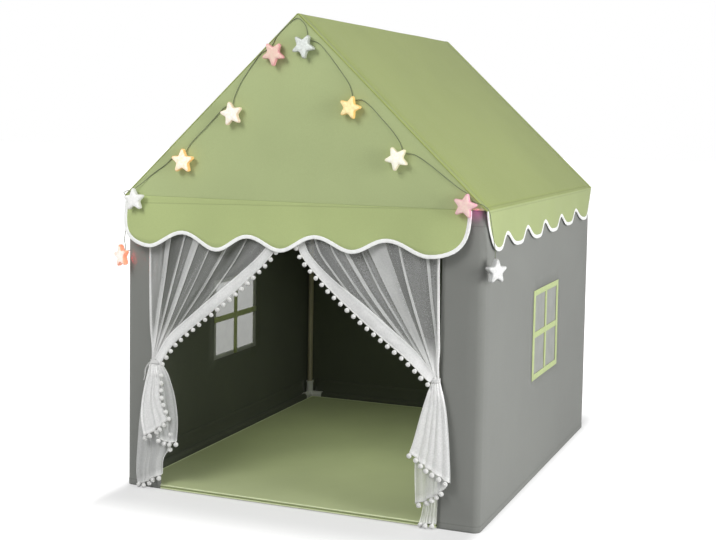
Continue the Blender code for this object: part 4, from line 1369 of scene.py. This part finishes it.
# Each star: its middle, its lean, its turn about the upright axis, its share of the full size, the
# colours of its rim and face, and how much it glows
star_table = (
    ((-0.5435, -0.657, 0.672), 10, -26, 0.95, (0.95, 0.34, 0.2), (0.96, 0.85, 0.79), 0.34),
    ((-0.498, -0.6638, 0.836), 5, 0, 0.94, (0.72, 0.73, 0.7), (0.93, 0.93, 0.91), 0.08),
    ((-0.343, -0.6588, 0.95), 0, 0, 1, (0.85, 0.5, 0.18), (0.93, 0.89, 0.76), 0.26),
    ((-0.191, -0.6588, 1.084), 12, 0, 0.96, (0.74, 0.6, 0.44), (0.9, 0.87, 0.8), 0.22),
    ((-0.065, -0.6588, 1.248), 36, 0, 0.94, (0.72, 0.34, 0.35), (0.76, 0.57, 0.46), 0.14),
    ((0.023, -0.6588, 1.268), -30, 0, 0.95, (0.4, 0.43, 0.38), (0.78, 0.82, 0.78), 0.05),
    ((0.161, -0.6588, 1.106), -16, 0, 0.89, (0.8, 0.5, 0.16), (0.88, 0.79, 0.42), 0.24),
    ((0.295, -0.6588, 0.975), 27, 0, 0.93, (0.7, 0.64, 0.46), (0.9, 0.9, 0.79), 0.22),
    ((0.485, -0.6618, 0.859), -12, 0, 0.92, (0.74, 0.36, 0.44), (0.82, 0.62, 0.54), 0.14),
    ((0.564, -0.637, 0.6925), 0, 58, 0.95, (0.44, 0.45, 0.44), (0.8, 0.8, 0.79), 0.04),
)
# From the rim to the middle of a star's face: the share of its outline and how far it stands out
star_rings = (
    (1, 0.003), (0.985, 0.0052), (0.95, 0.0068), (0.86, 0.0084), (0.7, 0.0094), (0.45, 0.0099), (0.2, 0.01),
)


def star_outline():
    """Five rounded tips with a soft valley between each two."""
    points = []
    for k in range(5):
        tip = pi / 2 + tau * k / 5
        centre = star_tip - tip_round
        for turn in (-68, -45, -22, 0, 22, 45, 68):
            angle = tip + radians(turn)
            points.append([
                centre * part(tip) + tip_round * part(angle) for part in (cos, sin)
            ])
        for turn, reach in ((25, 1.24), (36, 1.12), (47, 1.24)):
            angle = tip + radians(turn)
            points.append([star_valley * reach * part(angle) for part in (cos, sin)])
    return points


def build_stars():
    outline = star_outline()
    stack = [(share, -out) for share, out in reversed(star_rings)] + list(star_rings)
    stars = []
    for number, (middle, tilt, turn, size, edge, core, glow) in enumerate(star_table, 1):
        bm = bmesh.new()
        layer = bm.verts.layers.float.new("core")
        turned = (
            Matrix.Translation(middle) @ Matrix.Rotation(radians(turn), 4, "Z")
            @ Matrix.Rotation(radians(-tilt), 4, "Y") @ Matrix.Diagonal((size, 1, size, 1))
        )
        rings = []
        for share, depth in stack:
            rings.append([])
            for x, z in outline:
                vert = bm.verts.new(turned @ Vector((x * share, depth, z * share)))
                face = 1 - ramp(share, 0.84, 0.96)
                vert[layer] = face * (1 - 0.35 * hypot(x, z) * share / star_tip)
                rings[-1].append(vert)
        join_rings(bm, rings)
        for ring, depth in ((rings[0], -0.0101), (rings[-1], 0.01)):
            hub = bm.verts.new(turned @ Vector((0, depth, 0)))
            hub[layer] = 1
            for first, second in zip(ring, ring[1:] + ring[:1]):
                bm.faces.new((first, second, hub))
        name = f"star_{number}"
        surface = lamp_surface(name + " lamp", edge, core, glow)
        stars.append(add_piece(name + "_lamp", bm, surface, replaces=(name,)))
    return stars


# The wire's route in millimetres: from its box up to the gable, across it at one depth, and down to star 10
wire_up = (
    (-544.3, -450, 650.5), (-544.3, -450, 658), (-545, -452, 669), (-546.5, -460, 679),
    (-549, -476, 684), (-553, -505, 685), (-557, -540, 683), (-560, -575, 681),
    (-561, -600, 680), (-559.5, -614, 680), (-556, -624, 680), (-549.9, -631.7, 681),
    (-542, -641.1, 684.5), (-537, -647, 690.5), (-537, -647, 698.5), (-542, -641.1, 706),
    (-549.9, -631.7, 710), (-556, -623, 716), (-558, -616, 730), (-557, -613, 750),
    (-554, -615, 780), (-550, -620, 810), (-547, -628, 835), (-545.5, -638, 848),
    (-542.5, -648, 854), (-535, -650, 857.5), (-524, -651.5, 860.5), (-507.1, -652.5, 854.2),
    (-500.5, -652.5, 868.5), (-483, -650.5, 881), (-459, -648, 901),
)
wire_across = (
    (-437, 917), (-405, 938), (-379, 960), (-343.7, 973), (-326, 998), (-300, 1024),
    (-277, 1045), (-252, 1070), (-233, 1089), (-217, 1103), (-196.7, 1105.3), (-187, 1134),
    (-170, 1168), (-151, 1196), (-130, 1224), (-108, 1250), (-78.5, 1266.6), (-62, 1295),
    (-40, 1317), (-16, 1337), (0, 1343), (14, 1335), (26.5, 1318), (34.4, 1287.3),
    (62, 1277), (89, 1250), (108, 1227), (127, 1203), (154, 1166), (167.4, 1127.4),
    (190, 1127), (216, 1109), (243, 1082), (277, 1047), (300, 1015), (311, 990.6),
    (341, 986), (377, 965), (404, 946),
)
wire_down = (
    (434, -647.6, 924), (464, -649, 903), (490, -650.5, 888), (501.1, -650.8, 871.4),
    (525, -650.5, 864), (538, -650, 856), (544.5, -648, 849), (547.5, -645, 838),
    (550.5, -642, 815), (554, -640, 790), (557.5, -636, 765), (558.3, -628.5, 745),
    (558, -626.4, 730), (558, -626.4, 715),
)
wire_gable_y = -647.5
wire_radius = 0.001


def build_wire(stars):
    route = wire_up + tuple((x, wire_gable_y, z) for x, z in wire_across) + wire_down
    curve = bpy.data.curves.new("star_wire", "CURVE")
    curve.dimensions = "3D"
    curve.bevel_depth = wire_radius
    curve.bevel_resolution = 2
    curve.use_fill_caps = True
    fine = smooth_line(route, 3)
    spline = curve.splines.new("POLY")
    spline.points.add(len(fine) - 1)
    for target, place in zip(spline.points, fine):
        target.co = (*place, 1)
    curve.materials.append(wire_sleeve)
    wire = link("star_wire", curve)
    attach(wire, "tent")
    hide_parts("light_wire")


# Camera, floor and light

# The camera in pixels of the picture, and where it stands and looks
focal_length, picture_width, picture_shift = 1268.325, 716, -60
camera_place = (1.4445, -3.7676, 1.0881)
camera_yaw, camera_drop, camera_roll = -0.384, 0.0751, 0.0164
white = (1, 1, 1, 1)


def build_camera():
    data = bpy.data.cameras.new("camera")
    data.sensor_width = 36
    data.sensor_fit = "HORIZONTAL"
    data.lens = focal_length / picture_width * data.sensor_width
    data.shift_y = picture_shift / picture_width
    data.clip_start = 0.05
    data.clip_end = 100
    yaw, drop, roll = camera_yaw, camera_drop, camera_roll
    forward = Vector((sin(yaw) * cos(drop), cos(yaw) * cos(drop), -sin(drop)))
    right = Vector((cos(yaw), -sin(yaw), 0))
    up = right.cross(forward)
    across = right * cos(roll) + up * sin(roll)
    over = up * cos(roll) - right * sin(roll)
    turned = Matrix((across, over, -forward)).transposed().to_4x4()
    turned.translation = Vector(camera_place)
    camera = link("camera", data)
    camera.matrix_world = turned
    bpy.context.scene.camera = camera


def area_light(name, place, target, size, watts, colour=(1, 1, 1), spread=180):
    data = bpy.data.lights.new(name, "AREA")
    data.shape = "DISK"
    data.size = size
    data.energy = watts
    data.color = colour
    data.spread = radians(spread)
    lamp = link(name, data)
    lamp.location = place
    lamp.visible_camera = False
    lamp.visible_glossy = False
    lamp.rotation_euler = (Vector(target) - Vector(place)).to_track_quat("-Z", "Y").to_euler()


floor_reach = 30
floor_level = -0.0004
# Along x and y: how far the painted shadow's middle is off, its half size, and how fast it brightens outside
painted_shadow_zone = ((0, half_width - 0.03, 4), (0.045, half_depth + 0.045, 1))


def build_floor():
    """A pale floor that brightens to the white of the backdrop away from the tent, its glow held low close
    by as a painted shadow round the tent.
    """
    bm = bmesh.new()
    corners = ((-1, -1), (1, -1), (1, 1), (-1, 1))
    bm.faces.new([bm.verts.new((x * floor_reach, y * floor_reach, floor_level)) for x, y in corners])
    mesh = bpy.data.meshes.new("floor")
    bm.to_mesh(mesh)
    bm.free()
    s = Surface("pale floor", (0.42, 0.42, 0.42), 0.9, Specular_IOR_Level=0.2)
    split = s.add("SeparateXYZ", (s.place,)).node.outputs
    outside = []
    for value, (shift, half, share) in zip(split, painted_shadow_zone):
        for operation, other in (
            ("ADD", shift), ("ABSOLUTE", 0), ("SUBTRACT", half), ("MAXIMUM", 0), ("MULTIPLY", share),
        ):
            value = s.math(operation, value, other)
        outside.append(value)
    away = s.add("VectorMath", (s.add("CombineXYZ", outside),), "Value", operation="LENGTH")
    # The glow is low near the tent and full away from it: painted shadow.
    far = s.add("MapRange", (away, 0, 0.36, 0.4, 1.1), interpolation_type="SMOOTHSTEP")
    glow = s.math("MULTIPLY", s.seen_by("Is Camera Ray", "Is Glossy Ray"), far)
    s.set(Emission_Color=white, Emission_Strength=glow)
    mesh.materials.append(s.done())
    link("floor", mesh)


def build_world():
    """White to the eye; as a light, weaker from overhead."""
    world = bpy.data.worlds.new("studio")
    bpy.context.scene.world = world
    world.use_nodes = True
    world.node_tree.nodes.clear()
    n = Nodes(world.node_tree)
    up = n.add("SeparateXYZ", (n.add("TexCoord", output="Generated"),), "Z")
    overhead = n.add("MapRange", (up, 0, 1, 0.48, 0.27))
    light, backdrop = (n.add("Background", (white, strength)) for strength in (overhead, 1))
    seen = n.seen_by("Is Camera Ray", "Is Glossy Ray", "Is Transmission Ray")
    out = n.tree.nodes.new("ShaderNodeOutputWorld")
    n.put(out.inputs["Surface"], n.add("MixShader", (seen, light, backdrop)))


build_camera()
build_wire(build_stars())
build_walls()
for window_side in side_sign:
    build_window(window_side)
build_roof()
build_gable("front", -1)
build_gable("back", 1)
build_valances()
build_curtains()
build_mat()
build_floor()
build_world()
area_light("front light", (-1.2, -3, 3), (0, -0.6, 0.9), 1.8, 76)
area_light("right light", (4.2, -1.2, 1.3), (0, 0, 0.6), 2.2, 142)
area_light("back light", (-2.2, 3.8, 1.8), (0, 0.3, 0.6), 2, 48)
area_light("glow of star 1", (-0.5275, -0.658, 0.664), (-0.522, -0.64, 0.662), 0.012, 0.05, (1, 0.07, 0.09))
area_light("glow of star 9", (0.512, -0.655, 0.845), (0.524, -0.6, 0.8), 0.012, 0.004, (1, 0.15, 0.6))
area_light("light through the roof", (0, -0.1, 1.1), (0, -0.1, 0), 0.3, 1.6, (0.95, 1, 0.85), 110)

bpy.context.scene.view_settings.view_transform = "Standard"
bpy.context.view_layer.update()
